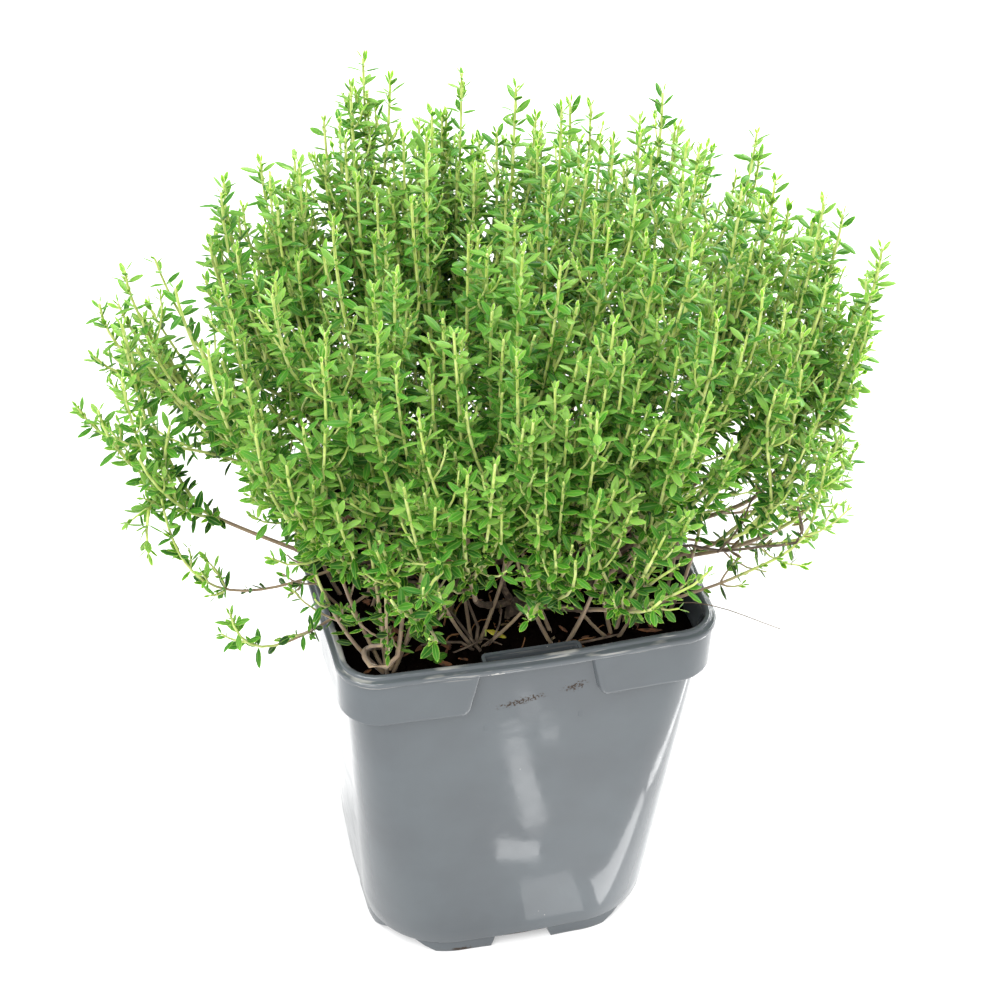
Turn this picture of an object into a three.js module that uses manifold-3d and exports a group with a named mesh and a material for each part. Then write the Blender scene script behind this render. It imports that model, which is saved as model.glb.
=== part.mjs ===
// Thyme growing in a square plastic nursery pot: the pot, the potting soil, nine woody plants that
// come up through it, and the leafy sprays that they carry.
// Millimetres and degrees, +Z up. The origin is the centre of the square on which the pot stands,
// with X and Y along its sides; the label pocket is on the -Y side.
import * as THREE from "three";
import Module from "manifold-3d";

const wasm = await Module();
wasm.setup();

// ---- Driving dimensions of the pot ----
const POT_HEIGHT = 125;
const RIM_HALF = 55; // half the width across the rim
const RIM_CORNER = 12; // corner radius of the rim, seen from above
const RIM_DROP = 3; // height of the rolled rim
const WALL_TOP_HALF = 52.35;
const BASE_HALF = 44.7;
const BASE_CORNER = 26; // the corners get rounder towards the base
const TOP_BULGE = 1.2; // how far the middle of a side stands out past its ends
const BASE_BULGE = 0.5;
const WALL = 1.2;
const FLOOR = 1.6;
const FOOT_HEIGHT = 4;
const FOOT_HALF = 44.2;
const FOOT_WIDTH = 3.2;
const COLLAR_BOTTOM = 107.6; // the thickened corner collars hang from the rim to here
const COLLAR_HALF = 54.1;
const COLLAR_GAP_TOP = 16.1; // half the gap between two collars, under the rim
const COLLAR_GAP_BOTTOM = 19.4;
const SIDE_NOTCH = [9.6, 8.2]; // half widths of a drain notch, at the ground and at its top
const CORNER_NOTCH = [11.6, 3.9];
const DRAIN_SLOT = { half: 7, outer: 42.8, inner: 37.5 };
const POCKET = { half: 14.3, face: 47.2, plate: 1, bottom: 98, top: 122 };
const CLEARANCE = 0.3; // between pieces that touch

// ---- Driving dimensions of the soil and the plants ----
const SOIL_LEVEL = 115;
const SOIL_RELIEF = 1.4;
const PLANT_COUNT = 9; // one in the middle and eight round it
const PLANT_RING = 25; // how far the eight come up from the middle
const PLANT_DEPTH = 12; // how deep the woody feet are set
const FORK_HEIGHT = 6.5; // of a plant's first fork, over the soil
const SPRAY_COUNT = 45;
const GOLDEN_ANGLE = 137.508;
const MIDDLE_SHARE = 0.34; // sprays nearer the middle than this belong to the middle plant
const FOOT_SPREAD = 34; // how far from the middle the outermost shoots leave the soil
const SPREAD_POWER = 1.7; // shoots lean out first
const RISE_POWER = 1.1; // and then rise
const LOW_RISE_POWER = 0.45; // low shoots rise sooner, to clear the rim
const SPRAY_START = 0.22; // where on its way from soil to tip a spray leaves the wood
const CROWN_HEIGHT = 238; // of the tips in the middle
const TIP_POWER = 1.35; // the tips stand closer together towards the edge
const SKIRT_POWER = 10; // only the outermost shoots droop to the crown's lower edge
// Reach from the middle, height of the crown's shoulder, and how far the outermost tips hang below
// it, every 30 degrees from +X towards +Y.
const REACH = [112, 118, 97, 79, 84, 103, 117, 94, 80, 73, 80, 98];
const SHOULDER = [214, 216, 220, 228, 230, 222, 210, 196, 182, 176, 182, 200];
const SKIRT = [66, 60, 55, 55, 55, 50, 44, 40, 30, 24, 28, 48];
const HEIGHT_SCATTER = 8;
const LEADER = { spray: 28, extra: 12 }; // one shoot stands up out of the crown
const WANDER = 1.3; // how far a stem strays from its course
const STEM_HALF = [0.82, 0.5]; // half the width of the square green stem, at its foot and tip
const WOOD_RADIUS = { foot: 2.3, fork: 1.9, limb: 1.5, end: 1.0 };
const LEAF_LENGTH = [5.8, 8];
const LEAF_WIDTH = 2.6;
const LEAF_THICKNESS = 0.76;
const NODE_LENGTH = 1.1; // stretch of stem that a pair of leaves grows from
const MAIN_PAIRS = 4;
const SIDE_PAIRS = 3;
const SIDE_SHIFT = 0.115; // how far a side shoot moves away from its main shoot, as a share of the crown
const SIDE_SPAN = 0.25;
// Thin shoots that stray out low over the rim: azimuth, reach and tip height.
const STRAGGLERS = [
  { azimuth: 193, reach: 99, tip: 172, start: 44 },
  { azimuth: 211, reach: 97, tip: 152, start: 48 },
  { azimuth: 352, reach: 106, tip: 152, start: 46 },
  { azimuth: 340, reach: 98, tip: 146, start: 47 },
];

// ---- Colours ----
const plastic = new THREE.MeshStandardMaterial({ color: 0x7b858c, roughness: 0.38, metalness: 0 });
const peat = new THREE.MeshStandardMaterial({ color: 0x2a1d15, roughness: 0.95, metalness: 0 });
const bark = new THREE.MeshStandardMaterial({ color: 0x7d6a59, roughness: 0.85, metalness: 0 });
const leafGreen = new THREE.MeshStandardMaterial({ color: 0x4c9a3c, roughness: 0.6, metalness: 0 });

// ---- Small helpers ----
const vec = (x, y, z) => new THREE.Vector3(x, y, z);
const radians = THREE.MathUtils.degToRad;
const mix = THREE.MathUtils.lerp;

/** A fixed pseudo-random value from 0 to 1 for each pair of numbers. */
function scatter(n, k = 0) {
  const x = Math.sin(n * 12.9898 + k * 78.233 + 1.7) * 43758.5453;
  return x - Math.floor(x);
}

/** A closed surface that is put together from rings of points. */
class Shell {
  constructor() {
    this.points = [];
    this.faces = [];
  }

  ring(points) {
    return points.map((p) => this.points.push(p) - 1);
  }

  quad(a, b, c, d) {
    this.faces.push(a, b, c, a, c, d);
  }

  /** Joins two rings, both counter-clockwise as seen from the second one. */
  band(from, to, skip = () => false) {
    const n = from.length;
    from.forEach((a, k) => {
      if (!skip(k)) this.quad(a, from[(k + 1) % n], to[(k + 1) % n], to[k]);
    });
  }

  /** Closes a ring with a point, on the side from which the ring runs counter-clockwise. */
  fan(ring, point) {
    const [apex] = this.ring([point]);
    ring.forEach((a, k) => this.faces.push(a, ring[(k + 1) % ring.length], apex));
  }

  solid() {
    return new wasm.Manifold(
      new wasm.Mesh({
        numProp: 3,
        vertProperties: new Float32Array(this.points.flatMap((p) => p.toArray())),
        triVerts: new Uint32Array(this.faces),
      }),
    );
  }
}

/** A solid as a named mesh. */
function meshOf(solid, name, material) {
  const { vertProperties, triVerts } = solid.getMesh();
  const geometry = new THREE.BufferGeometry()
    .setAttribute("position", new THREE.BufferAttribute(new Float32Array(vertProperties), 3))
    .setIndex(new THREE.BufferAttribute(new Uint32Array(triVerts), 1));
  geometry.computeVertexNormals();
  const mesh = new THREE.Mesh(geometry, material);
  mesh.name = name;
  return mesh;
}

/** A solid whose rings are stacked along the way, closed by a point at each end. */
function stack(rings, firstPoint, lastPoint) {
  const shell = new Shell();
  const loops = rings.map((points) => shell.ring(points));
  shell.fan([...loops[0]].reverse(), firstPoint);
  loops.slice(1).forEach((loop, k) => shell.band(loops[k], loop));
  shell.fan(loops[loops.length - 1], lastPoint);
  return shell.solid();
}

/** A six-sided block between four ground corners and four top corners, both counter-clockwise. */
function block(low, high) {
  const shell = new Shell();
  const [a, b] = [shell.ring(low), shell.ring(high)];
  shell.quad(a[3], a[2], a[1], a[0]);
  shell.band(a, b);
  shell.quad(...b);
  return shell.solid();
}

// ---- Pot ----
const CORNER_STEPS = 5;
const SIDE_STEPS = 3;

/** A square with round corners and slightly bulging sides, counter-clockwise from above. */
function roundedSquare(half, corner, bulge, z) {
  const straight = half - corner;
  const quarter = [];
  for (let k = 0; k <= SIDE_STEPS; k++) {
    const x = mix(-straight, straight, k / SIDE_STEPS);
    quarter.push([x, -half - bulge * (1 - (x / straight) ** 2)]);
  }
  for (let k = 1; k < CORNER_STEPS; k++) {
    const turn = radians(-90 + (90 * k) / CORNER_STEPS);
    quarter.push([straight + corner * Math.cos(turn), -straight + corner * Math.sin(turn)]);
  }
  const turns = [([x, y]) => [x, y], ([x, y]) => [-y, x], ([x, y]) => [-x, -y], ([x, y]) => [y, -x]];
  return turns.flatMap((turn) => quarter.map(turn)).map(([x, y]) => vec(x, y, z));
}

/** The pot wall's outline at a height, moved in by an inset. */
function wallOutline(z, inset = 0) {
  const share = (z - FOOT_HEIGHT) / (POT_HEIGHT - RIM_DROP - FOOT_HEIGHT);
  const corner = mix(BASE_CORNER, RIM_CORNER - (RIM_HALF - WALL_TOP_HALF), share);
  return roundedSquare(
    mix(BASE_HALF, WALL_TOP_HALF, share) - inset,
    corner - inset,
    mix(BASE_BULGE, TOP_BULGE, share),
    z,
  );
}

/** The rim's outline at a distance in from its edge. */
const rimOutline = (inset, z) => roundedSquare(RIM_HALF - inset, RIM_CORNER - inset, TOP_BULGE, z);

/** Turns a cutter to each of the four sides, or to the four corners with an offset of 45 degrees. */
function fourTimes(cutter, offset = 0) {
  return wasm.Manifold.union([0, 90, 180, 270].map((turn) => cutter.rotate([0, 0, turn + offset])));
}

/** The corners of a level rectangle, counter-clockwise from above. */
const rectangle = (x0, x1, y0, y1, z) => [vec(x0, y0, z), vec(x1, y0, z), vec(x1, y1, z), vec(x0, y1, z)];

/** A cutter across the -Y side that is wider or narrower at the top. */
function gapCutter([lowHalf, highHalf], low, high, near, far) {
  return block(
    rectangle(-lowHalf, lowHalf, -far, -near, low),
    rectangle(-highHalf, highHalf, -far, -near, high),
  );
}

function potSolid() {
  const top = POT_HEIGHT;
  const under = top - RIM_DROP;
  const outside = [
    wallOutline(FOOT_HEIGHT, 1.6),
    wallOutline(FOOT_HEIGHT + 0.4, 0.5),
    wallOutline(FOOT_HEIGHT + 1.5),
    wallOutline(under - 0.1),
    rimOutline(0, under),
    rimOutline(0, under + 1.6),
    rimOutline(0.4, under + 2),
    rimOutline(1.3, under + 2.1),
    rimOutline(1.5, top),
  ];
  const blank = stack(outside, vec(0, 0, FOOT_HEIGHT), vec(0, 0, top));
  const hollow = stack(
    [
      wallOutline(FOOT_HEIGHT + FLOOR, WALL + 1.2),
      wallOutline(FOOT_HEIGHT + FLOOR + 1.2, WALL),
      wallOutline(under - 1, WALL),
      rimOutline(3.7, top - 0.6),
      rimOutline(3.2, top + 0.2),
    ],
    vec(0, 0, FOOT_HEIGHT + FLOOR),
    vec(0, 0, top + 0.2),
  );

  const collarFloor = COLLAR_BOTTOM;
  const collarRing = stack(
    [
      roundedSquare(COLLAR_HALF, RIM_CORNER, TOP_BULGE, collarFloor),
      roundedSquare(COLLAR_HALF + 0.4, RIM_CORNER, TOP_BULGE, under + 0.5),
    ],
    vec(0, 0, collarFloor),
    vec(0, 0, under + 0.5),
  );
  const gaps = fourTimes(
    gapCutter([COLLAR_GAP_BOTTOM, COLLAR_GAP_TOP], collarFloor - 1, under, WALL_TOP_HALF - 4, RIM_HALF + 4),
  );

  const footRing = stack(
    [
      roundedSquare(FOOT_HALF, BASE_CORNER - 0.5, BASE_BULGE, 0),
      roundedSquare(FOOT_HALF, BASE_CORNER - 0.5, BASE_BULGE, FOOT_HEIGHT + 0.6),
    ],
    vec(0, 0, 0),
    vec(0, 0, FOOT_HEIGHT + 0.6),
  );
  const footInner = FOOT_HALF - FOOT_WIDTH;
  const footHole = stack(
    [-1, FOOT_HEIGHT + 1].map((z) => roundedSquare(footInner, BASE_CORNER - FOOT_WIDTH, BASE_BULGE, z)),
    vec(0, 0, -1),
    vec(0, 0, FOOT_HEIGHT + 1),
  );
  const sideNotches = fourTimes(gapCutter(SIDE_NOTCH, -0.5, FOOT_HEIGHT, footInner - 4, FOOT_HALF + 4));
  const cornerNotch = gapCutter(CORNER_NOTCH, -0.5, FOOT_HEIGHT, footInner + 2, FOOT_HALF + 14);
  const cornerNotches = fourTimes(cornerNotch, 45);
  const feet = footRing.subtract(footHole).subtract(sideNotches).subtract(cornerNotches);

  const { half, outer, inner } = DRAIN_SLOT;
  const slotTop = FOOT_HEIGHT + FLOOR + 0.5;
  const slots = fourTimes(gapCutter([half, half], FOOT_HEIGHT - 1, slotTop, inner, outer));

  return blank
    .add(collarRing.subtract(gaps))
    .subtract(hollow)
    .add(feet)
    .add(pocketWalls().intersect(blank))
    .subtract(slots);
}

/** The upright plate inside the -Y side and the two webs that hold it: a pocket for a plant label. */
function pocketWalls() {
  const { half, face, plate, bottom, top } = POCKET;
  const inner = half - plate;
  const outside = gapCutter([half, half], bottom, top, face - plate, RIM_HALF);
  return outside.subtract(gapCutter([inner, inner], bottom - 1, top + 1, face, RIM_HALF + 1));
}

// ---- Soil ----
/** The height of the soil's uneven surface. */
function soilHeight(x, y) {
  const lumps = Math.sin(x * 0.21 + 0.6) * Math.cos(y * 0.17 - 0.4) + 0.6 * Math.sin(x * 0.09 - y * 0.26);
  return SOIL_LEVEL + SOIL_RELIEF * lumps;
}

function soilSolid(feet) {
  const floor = FOOT_HEIGHT + FLOOR + CLEARANCE;
  const gap = WALL + CLEARANCE;
  const edge = wallOutline(SOIL_LEVEL - 2 * SOIL_RELIEF, gap);
  const surface = [1, 0.8, 0.55, 0.28].map((share) =>
    edge.map((p) => vec(p.x * share, p.y * share, soilHeight(p.x * share, p.y * share))),
  );
  const body = stack(
    [wallOutline(floor, gap + 1.2), wallOutline(floor + 1.2, gap), ...surface],
    vec(0, 0, floor),
    vec(0, 0, soilHeight(0, 0)),
  );
  const { half, face, plate, bottom, top } = POCKET;
  const room = half + CLEARANCE;
  const around = gapCutter([room, room], bottom - CLEARANCE, top, face - plate - CLEARANCE, RIM_HALF);
  return feet.reduce((soil, foot) => soil.subtract(foot), body.subtract(around));
}

// ---- Course of the shoots ----
/** A value from a list that goes round the pot in equal steps, eased between its entries. */
function around(list, azimuth) {
  const place = (((azimuth / 360) % 1) + 1) % 1;
  const at = place * list.length;
  const k = Math.floor(at) % list.length;
  const ease = (1 - Math.cos((at - Math.floor(at)) * Math.PI)) / 2;
  return mix(list[k], list[(k + 1) % list.length], ease);
}

/** A point of the crown: across runs from 0 in the middle to 1 at the edge, t from the soil to the tips. */
function crownPoint(acrossX, acrossY, t, extraHeight) {
  const across = Math.hypot(acrossX, acrossY);
  const azimuth = Math.atan2(acrossY, acrossX);
  const degrees = THREE.MathUtils.radToDeg(azimuth);
  const tipRadius = around(REACH, degrees) * (1 - Math.max(0, 1 - across) ** TIP_POWER);
  const radius = mix(FOOT_SPREAD * across, tipRadius, 1 - (1 - t) ** SPREAD_POWER);
  const shoulder = mix(CROWN_HEIGHT, around(SHOULDER, degrees), across ** 2);
  const tip = shoulder - around(SKIRT, degrees) * across ** SKIRT_POWER + extraHeight;
  const rise = t ** THREE.MathUtils.mapLinear(tip, 140, 220, LOW_RISE_POWER, RISE_POWER);
  return vec(radius * Math.cos(azimuth), radius * Math.sin(azimuth), mix(SOIL_LEVEL, tip, rise));
}

/** A stem's slow sideways wander, which starts from nothing at the soil. */
function wander(t, phase) {
  return vec(Math.cos(5 * t + phase), Math.sin(5 * t + phase), 0).multiplyScalar(WANDER * t);
}

/** Where spray i stands in the crown, and which plant carries it. */
function sprayPlace(i) {
  const across = Math.sqrt((i + 0.5) / SPRAY_COUNT);
  const turn = i * GOLDEN_ANGLE;
  const azimuth = radians(turn);
  const sector = Math.floor((((turn + 22.5) % 360) + 360) / 45) % 8;
  return {
    x: across * Math.cos(azimuth),
    y: across * Math.sin(azimuth),
    plant: across < MIDDLE_SHARE ? 0 : 1 + sector,
    extra: HEIGHT_SCATTER * (scatter(i, 1) - 0.5) * 2 + (i + 1 === LEADER.spray ? LEADER.extra : 0),
    phase: 2 * Math.PI * scatter(i, 2),
  };
}

/** The course of a spray's main shoot, from the wood to its tip. */
function mainCourse(place) {
  return (s) => {
    const t = mix(SPRAY_START, 1, s);
    return crownPoint(place.x, place.y, t, place.extra).add(wander(t, place.phase));
  };
}

/** The course of a side shoot, which leaves the main shoot at an angle and then rises beside it. */
function sideCourse(place, number) {
  const heading = Math.atan2(place.y, place.x) + Math.PI / 2 + (scatter(number, 5) - 0.5) * 0.9;
  const from = mix(0.36, 0.46, scatter(number, 6));
  const to = mix(0.84, 0.94, scatter(number, 7));
  return (s) => {
    const t = mix(from, to, s);
    const share = SIDE_SHIFT * Math.sin((Math.PI / 2) * Math.min(1, (t - from) / SIDE_SPAN));
    const x = place.x + share * Math.cos(heading);
    const y = place.y + share * Math.sin(heading);
    return crownPoint(x, y, t, place.extra).add(wander(t, place.phase));
  };
}

/** The course of a straggler: out low over the rim, then up. */
function stragglerCourse({ azimuth, reach, tip, start }) {
  const heading = radians(azimuth);
  const at = (radius, z) => vec(radius * Math.cos(heading), radius * Math.sin(heading), z);
  const curve = new THREE.CubicBezierCurve3(
    at(start, POT_HEIGHT + 7),
    at(mix(start, reach, 0.6), POT_HEIGHT + 3),
    at(reach - 3, POT_HEIGHT + 6),
    at(reach, tip),
  );
  return (s) => curve.getPoint(s);
}

/** The directions along and across a course at s; the first one across lies level round the pot. */
function frameAt(course, s, twist) {
  const step = 0.01;
  const along = course(Math.min(1, s + step)).sub(course(Math.max(0, s - step))).normalize();
  const here = course(s);
  const level = vec(-here.y, here.x, 0);
  if (level.length() < 1) level.set(0, 1, 0);
  const right = level.addScaledVector(along, -level.dot(along)).normalize();
  const ahead = new THREE.Vector3().crossVectors(along, right);
  const turned = (angle) =>
    right.clone().multiplyScalar(Math.cos(angle)).addScaledVector(ahead, Math.sin(angle));
  return { here, along, turned: (angle) => turned(angle + twist) };
}

// ---- Keeping the shoots of different nodes apart ----
const taken = [];

/** The shortest distance between two straight pieces, each given by its ends. */
function gapBetween(a, b, c, d) {
  const [u, v, w] = [b.clone().sub(a), d.clone().sub(c), a.clone().sub(c)];
  const [uu, uv, vv, uw, vw] = [u.dot(u), u.dot(v), v.dot(v), u.dot(w), v.dot(w)];
  const bottom = uu * vv - uv * uv;
  const clamp = (x) => Math.min(1, Math.max(0, x));
  let s = bottom > 1e-9 ? clamp((uv * vw - vv * uw) / bottom) : 0;
  const t = clamp((uv * s + vw) / vv);
  s = clamp((uv * t - uw) / uu);
  return w.addScaledVector(u, s).addScaledVector(v, -t).length();
}

/** Whether a straight piece keeps clear of what all the other nodes have taken. */
function isClear(from, to, radius, owner) {
  const others = taken.filter((piece) => piece.owner !== owner);
  return others.every((o) => gapBetween(from, to, o.from, o.to) > radius + o.radius + CLEARANCE);
}

/** Takes up the space of a stem, in short straight pieces. */
function reserveCourse(course, radius, owner, pieces = 8) {
  for (let k = 0; k < pieces; k++) {
    taken.push({ from: course(k / pieces), to: course((k + 1) / pieces), radius, owner });
  }
}

// ---- Shoots ----
/**
 * A leafy shoot as one surface: a square stem that tapers to a bud, with a pair of leaves drawn out
 * of two opposite faces at each node, and of the other two faces at the next node.
 */
function shootSolid(course, { pairs, firstPair, seed, owner, thickness = 1 }) {
  const shell = new Shell();
  const length = course(0).distanceTo(course(0.5)) + course(0.5).distanceTo(course(1));
  const twist = 2 * Math.PI * scatter(seed, 11);
  const halfWidth = (s) => thickness * mix(...STEM_HALF, s);
  const ringAt = (s) => {
    const { here, turned } = frameAt(course, s, twist);
    const corner = halfWidth(s) * Math.SQRT2;
    const corners = [0, 1, 2, 3].map((k) => turned((k - 0.5) * (Math.PI / 2)));
    return shell.ring(corners.map((out) => here.clone().addScaledVector(out, corner)));
  };

  const first = ringAt(0);
  shell.quad(first[3], first[2], first[1], first[0]);
  let last = first;
  const halfNode = NODE_LENGTH / 2 / length;
  for (let pair = 0; pair < pairs; pair++) {
    const s = mix(firstPair, 0.975, pair / (pairs - 1));
    const below = ringAt(s - halfNode);
    const above = ringAt(s + halfNode);
    shell.band(last, below);
    const frame = frameAt(course, s, twist);
    const leaf = { seed: seed + pair, owner, isTop: pair === pairs - 1 };
    const facing = [pair % 2, (pair % 2) + 2];
    const grown = facing.filter((face) => growLeaf(shell, frame, face, below, above, leaf));
    shell.band(below, above, (face) => grown.includes(face));
    last = above;
  }
  shell.fan(last, course(1).addScaledVector(frameAt(course, 1, twist).along, 1.2));
  return shell.solid();
}

/** Draws a leaf out of one face of the stem, at the first lift that is clear; false where none is. */
function growLeaf(shell, { here, along, turned }, face, below, above, { seed, owner, isTop }) {
  const out = turned(face * (Math.PI / 2));
  const side = new THREE.Vector3().crossVectors(along, out);
  const length = mix(...LEAF_LENGTH, scatter(seed, 20 + face)) * (isTop ? 0.8 : 1);
  const lifts = isTop ? [66, 74] : [mix(28, 46, scatter(seed, 24 + face)), 58, 70, 15];
  const root = here.clone().addScaledVector(out, STEM_HALF[0]);
  for (const lift of lifts) {
    const [level, up] = [Math.cos(radians(lift)), Math.sin(radians(lift))];
    const axis = out.clone().multiplyScalar(level).addScaledVector(along, up);
    const upper = along.clone().multiplyScalar(level).addScaledVector(out, -up);
    const tip = root.clone().addScaledVector(axis, length).addScaledVector(upper, -0.07 * length);
    if (!isClear(root, tip, LEAF_WIDTH / 2, owner) || !clearOfPot(tip)) continue;
    taken.push({ from: root, to: tip, radius: LEAF_WIDTH / 2, owner });
    const middle = root.clone().addScaledVector(axis, 0.42 * length);
    const [left, right, ridge] = shell.ring([
      middle.clone().addScaledVector(side, -LEAF_WIDTH / 2),
      middle.clone().addScaledVector(side, LEAF_WIDTH / 2),
      middle.clone().addScaledVector(upper, LEAF_THICKNESS),
    ]);
    const next = (face + 1) % 4;
    shell.quad(below[face], below[next], right, left);
    shell.quad(below[next], above[next], ridge, right);
    shell.quad(above[face], below[face], left, ridge);
    shell.faces.push(above[next], above[face], ridge);
    shell.fan([left, right, ridge], tip);
    return true;
  }
  return false;
}

/** Whether a leaf tip stays over the rim, and over the soil inside it. */
function clearOfPot(tip) {
  const inside = Math.max(Math.abs(tip.x), Math.abs(tip.y)) < WALL_TOP_HALF - 5;
  return tip.z > (inside ? SOIL_LEVEL + 5 : POT_HEIGHT + 3);
}

// ---- Woody parts ----
/** A round tapering piece of wood along a curve, with flat ends. */
function woodSolid(curve, startRadius, endRadius, steps, sides) {
  const rings = [];
  for (let k = 0; k <= steps; k++) {
    const s = k / steps;
    const { here, turned } = frameAt((x) => curve.getPoint(x), s, 0);
    const radius = mix(startRadius, endRadius, s);
    const corners = Array.from({ length: sides }, (_, n) => turned((2 * Math.PI * n) / sides));
    rings.push(corners.map((corner) => here.clone().addScaledVector(corner, radius)));
  }
  return stack(rings, curve.getPoint(0), curve.getPoint(1));
}

/** Where a plant comes out of the soil. */
function plantFoot(plant) {
  if (plant === 0) return vec(1, -0.5, SOIL_LEVEL);
  const azimuth = radians((plant - 1) * 45);
  return vec(PLANT_RING * Math.cos(azimuth), PLANT_RING * Math.sin(azimuth), SOIL_LEVEL);
}

/** The woody limb from a plant's fork to the foot of a shoot, which it meets end to end. */
function limbCurve(fork, course) {
  const { here, along } = frameAt(course, 0, 0);
  const end = here.addScaledVector(along, -CLEARANCE);
  const bend = end.clone().addScaledVector(along, -0.4 * end.distanceTo(fork));
  return new THREE.QuadraticBezierCurve3(fork, bend, end);
}

function plantSolid(plant, courses) {
  const foot = plantFoot(plant);
  const fork = foot.clone().setZ(SOIL_LEVEL + FORK_HEIGHT);
  const below = foot.clone().setZ(SOIL_LEVEL - PLANT_DEPTH);
  const trunk = new THREE.LineCurve3(below, fork.clone().setZ(fork.z + 1));
  const { foot: footRadius, fork: forkRadius, limb, end } = WOOD_RADIUS;
  const limbs = courses.map((course) => woodSolid(limbCurve(fork, course), limb, end, 2, 4));
  return wasm.Manifold.union([woodSolid(trunk, footRadius, forkRadius, 1, 6), ...limbs]);
}

/** The plain hole in the soil in which a plant's woody foot stands. */
function footHole(plant) {
  const foot = plantFoot(plant);
  const hole = new THREE.LineCurve3(
    foot.clone().setZ(SOIL_LEVEL - PLANT_DEPTH - CLEARANCE),
    foot.clone().setZ(SOIL_LEVEL + 8),
  );
  const radius = WOOD_RADIUS.foot + 2 * CLEARANCE;
  return woodSolid(hole, radius, radius, 1, 6);
}

// ---- Putting the part together ----
const sprays = Array.from({ length: SPRAY_COUNT }, (_, i) => {
  const place = sprayPlace(i);
  return {
    plant: place.plant,
    name: `spray_${String(i + 1).padStart(2, "0")}`,
    seed: 31 * i,
    main: mainCourse(place),
    side: sideCourse(place, i),
  };
});
const stragglers = STRAGGLERS.map((straggler, i) => ({
  plant: 1 + (Math.round(straggler.azimuth / 45) % 8),
  name: `straggler_${i + 1}`,
  seed: 2000 + 31 * i,
  main: stragglerCourse(straggler),
}));
const shoots = [...sprays, ...stragglers];

for (const { name, main, side } of shoots) {
  reserveCourse(main, STEM_HALF[0], name);
  if (side) reserveCourse(side, STEM_HALF[0], name);
}

const plants = Array.from({ length: PLANT_COUNT }, (_, plant) => plant);
const coursesOf = (plant) => shoots.filter((shoot) => shoot.plant === plant).map((shoot) => shoot.main);
plants.forEach((plant) => {
  const fork = plantFoot(plant).setZ(SOIL_LEVEL + FORK_HEIGHT);
  for (const course of coursesOf(plant)) {
    const curve = limbCurve(fork, course);
    reserveCourse((s) => curve.getPoint(s), WOOD_RADIUS.limb, `wood_${plant}`, 4);
  }
});

const part = new THREE.Group();
part.add(meshOf(potSolid(), "pot", plastic));
part.add(meshOf(soilSolid(plants.map(footHole)), "soil", peat));
plants.forEach((plant) => {
  part.add(meshOf(plantSolid(plant, coursesOf(plant)), `woody_plant_${plant + 1}`, bark));
});
for (const { name, seed, main, side } of shoots) {
  const straggles = !side;
  const mainShoot = shootSolid(main, {
    pairs: MAIN_PAIRS,
    firstPair: 0.26,
    seed,
    owner: name,
    thickness: straggles ? 0.75 : 1,
  });
  const sideShoot = { pairs: SIDE_PAIRS, firstPair: 0.45, seed: seed + 13, owner: name, thickness: 0.8 };
  const spray = straggles ? mainShoot : mainShoot.add(shootSolid(side, sideShoot));
  part.add(meshOf(spray, name, leafGreen));
}

export default part;
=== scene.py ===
"""Dresses the potted thyme: leaves, shoots, bark, compost and the moulded pot, with light and camera.

All shapes are worked out in millimetres in the frame of the CAD model and turned to metres when a
mesh is made. The origin is the centre of the pot on its standing plane, with +Z up.
"""

import logging
import math
from collections.abc import Callable
from dataclasses import dataclass, field, replace
from enum import IntEnum
from functools import partial
from typing import Any

import bpy
import numpy as np
from mathutils import Matrix


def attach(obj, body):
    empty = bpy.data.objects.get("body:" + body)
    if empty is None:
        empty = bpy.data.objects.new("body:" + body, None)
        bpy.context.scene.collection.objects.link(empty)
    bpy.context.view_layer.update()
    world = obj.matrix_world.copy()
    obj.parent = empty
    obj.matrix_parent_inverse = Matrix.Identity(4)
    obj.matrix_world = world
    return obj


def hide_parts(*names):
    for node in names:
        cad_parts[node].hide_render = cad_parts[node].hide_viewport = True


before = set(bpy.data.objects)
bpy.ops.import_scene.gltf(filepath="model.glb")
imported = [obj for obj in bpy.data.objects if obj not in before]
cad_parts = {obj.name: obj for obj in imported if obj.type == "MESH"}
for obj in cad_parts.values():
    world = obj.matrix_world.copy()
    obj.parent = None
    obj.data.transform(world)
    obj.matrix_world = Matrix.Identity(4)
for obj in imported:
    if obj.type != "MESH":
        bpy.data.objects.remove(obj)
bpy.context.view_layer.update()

log = logging.getLogger("potted_thyme")
MM = 0.001
TURN = 2 * math.pi
Array = np.ndarray
Course = Callable[[Array], Array]
Point = tuple[float, float, float]
Span = tuple[float, float]
Material = bpy.types.Material
Piece = bpy.types.Object
# Where the numbers of each kind start, so that no two kinds take the same scattered values.
STRAGGLER_NUMBERS, FLAKE_NUMBERS, FINE_NUMBERS, LEADER_NUMBERS, CLUMP_NUMBERS = 2000, 3000, 4000, 7000, 9000


# ---------------------------------------------------------------- numbers and directions


def scatter(n: float | Array, k: float | Array = 0) -> float | Array:
    """A fixed value from 0 to 1 for each pair of numbers, by the same rule as the CAD source.

    Args:
        n: The number of a shoot or leaf.
        k: Which of its properties the value is for.

    Returns:
        The fraction of 43758.5453 times the sine of 12.9898 n + 78.233 k + 1.7.
    """
    x = np.sin(np.asarray(n) * 12.9898 + np.asarray(k) * 78.233 + 1.7) * 43758.5453
    return x - np.floor(x)


def chance(n: int, k: int) -> float:
    """The scattered value of a single number."""
    return float(scatter(n, k))


def mix(a: Any, b: Any, t: Any) -> Any:
    """The value that lies the share t of the way from a to b."""
    return a * (1 - t) + b * t


def unit(v: Array) -> Array:
    """Vectors scaled to length one along the last axis."""
    return v / np.maximum(np.linalg.norm(v, axis=-1, keepdims=True), 1e-9)


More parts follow.
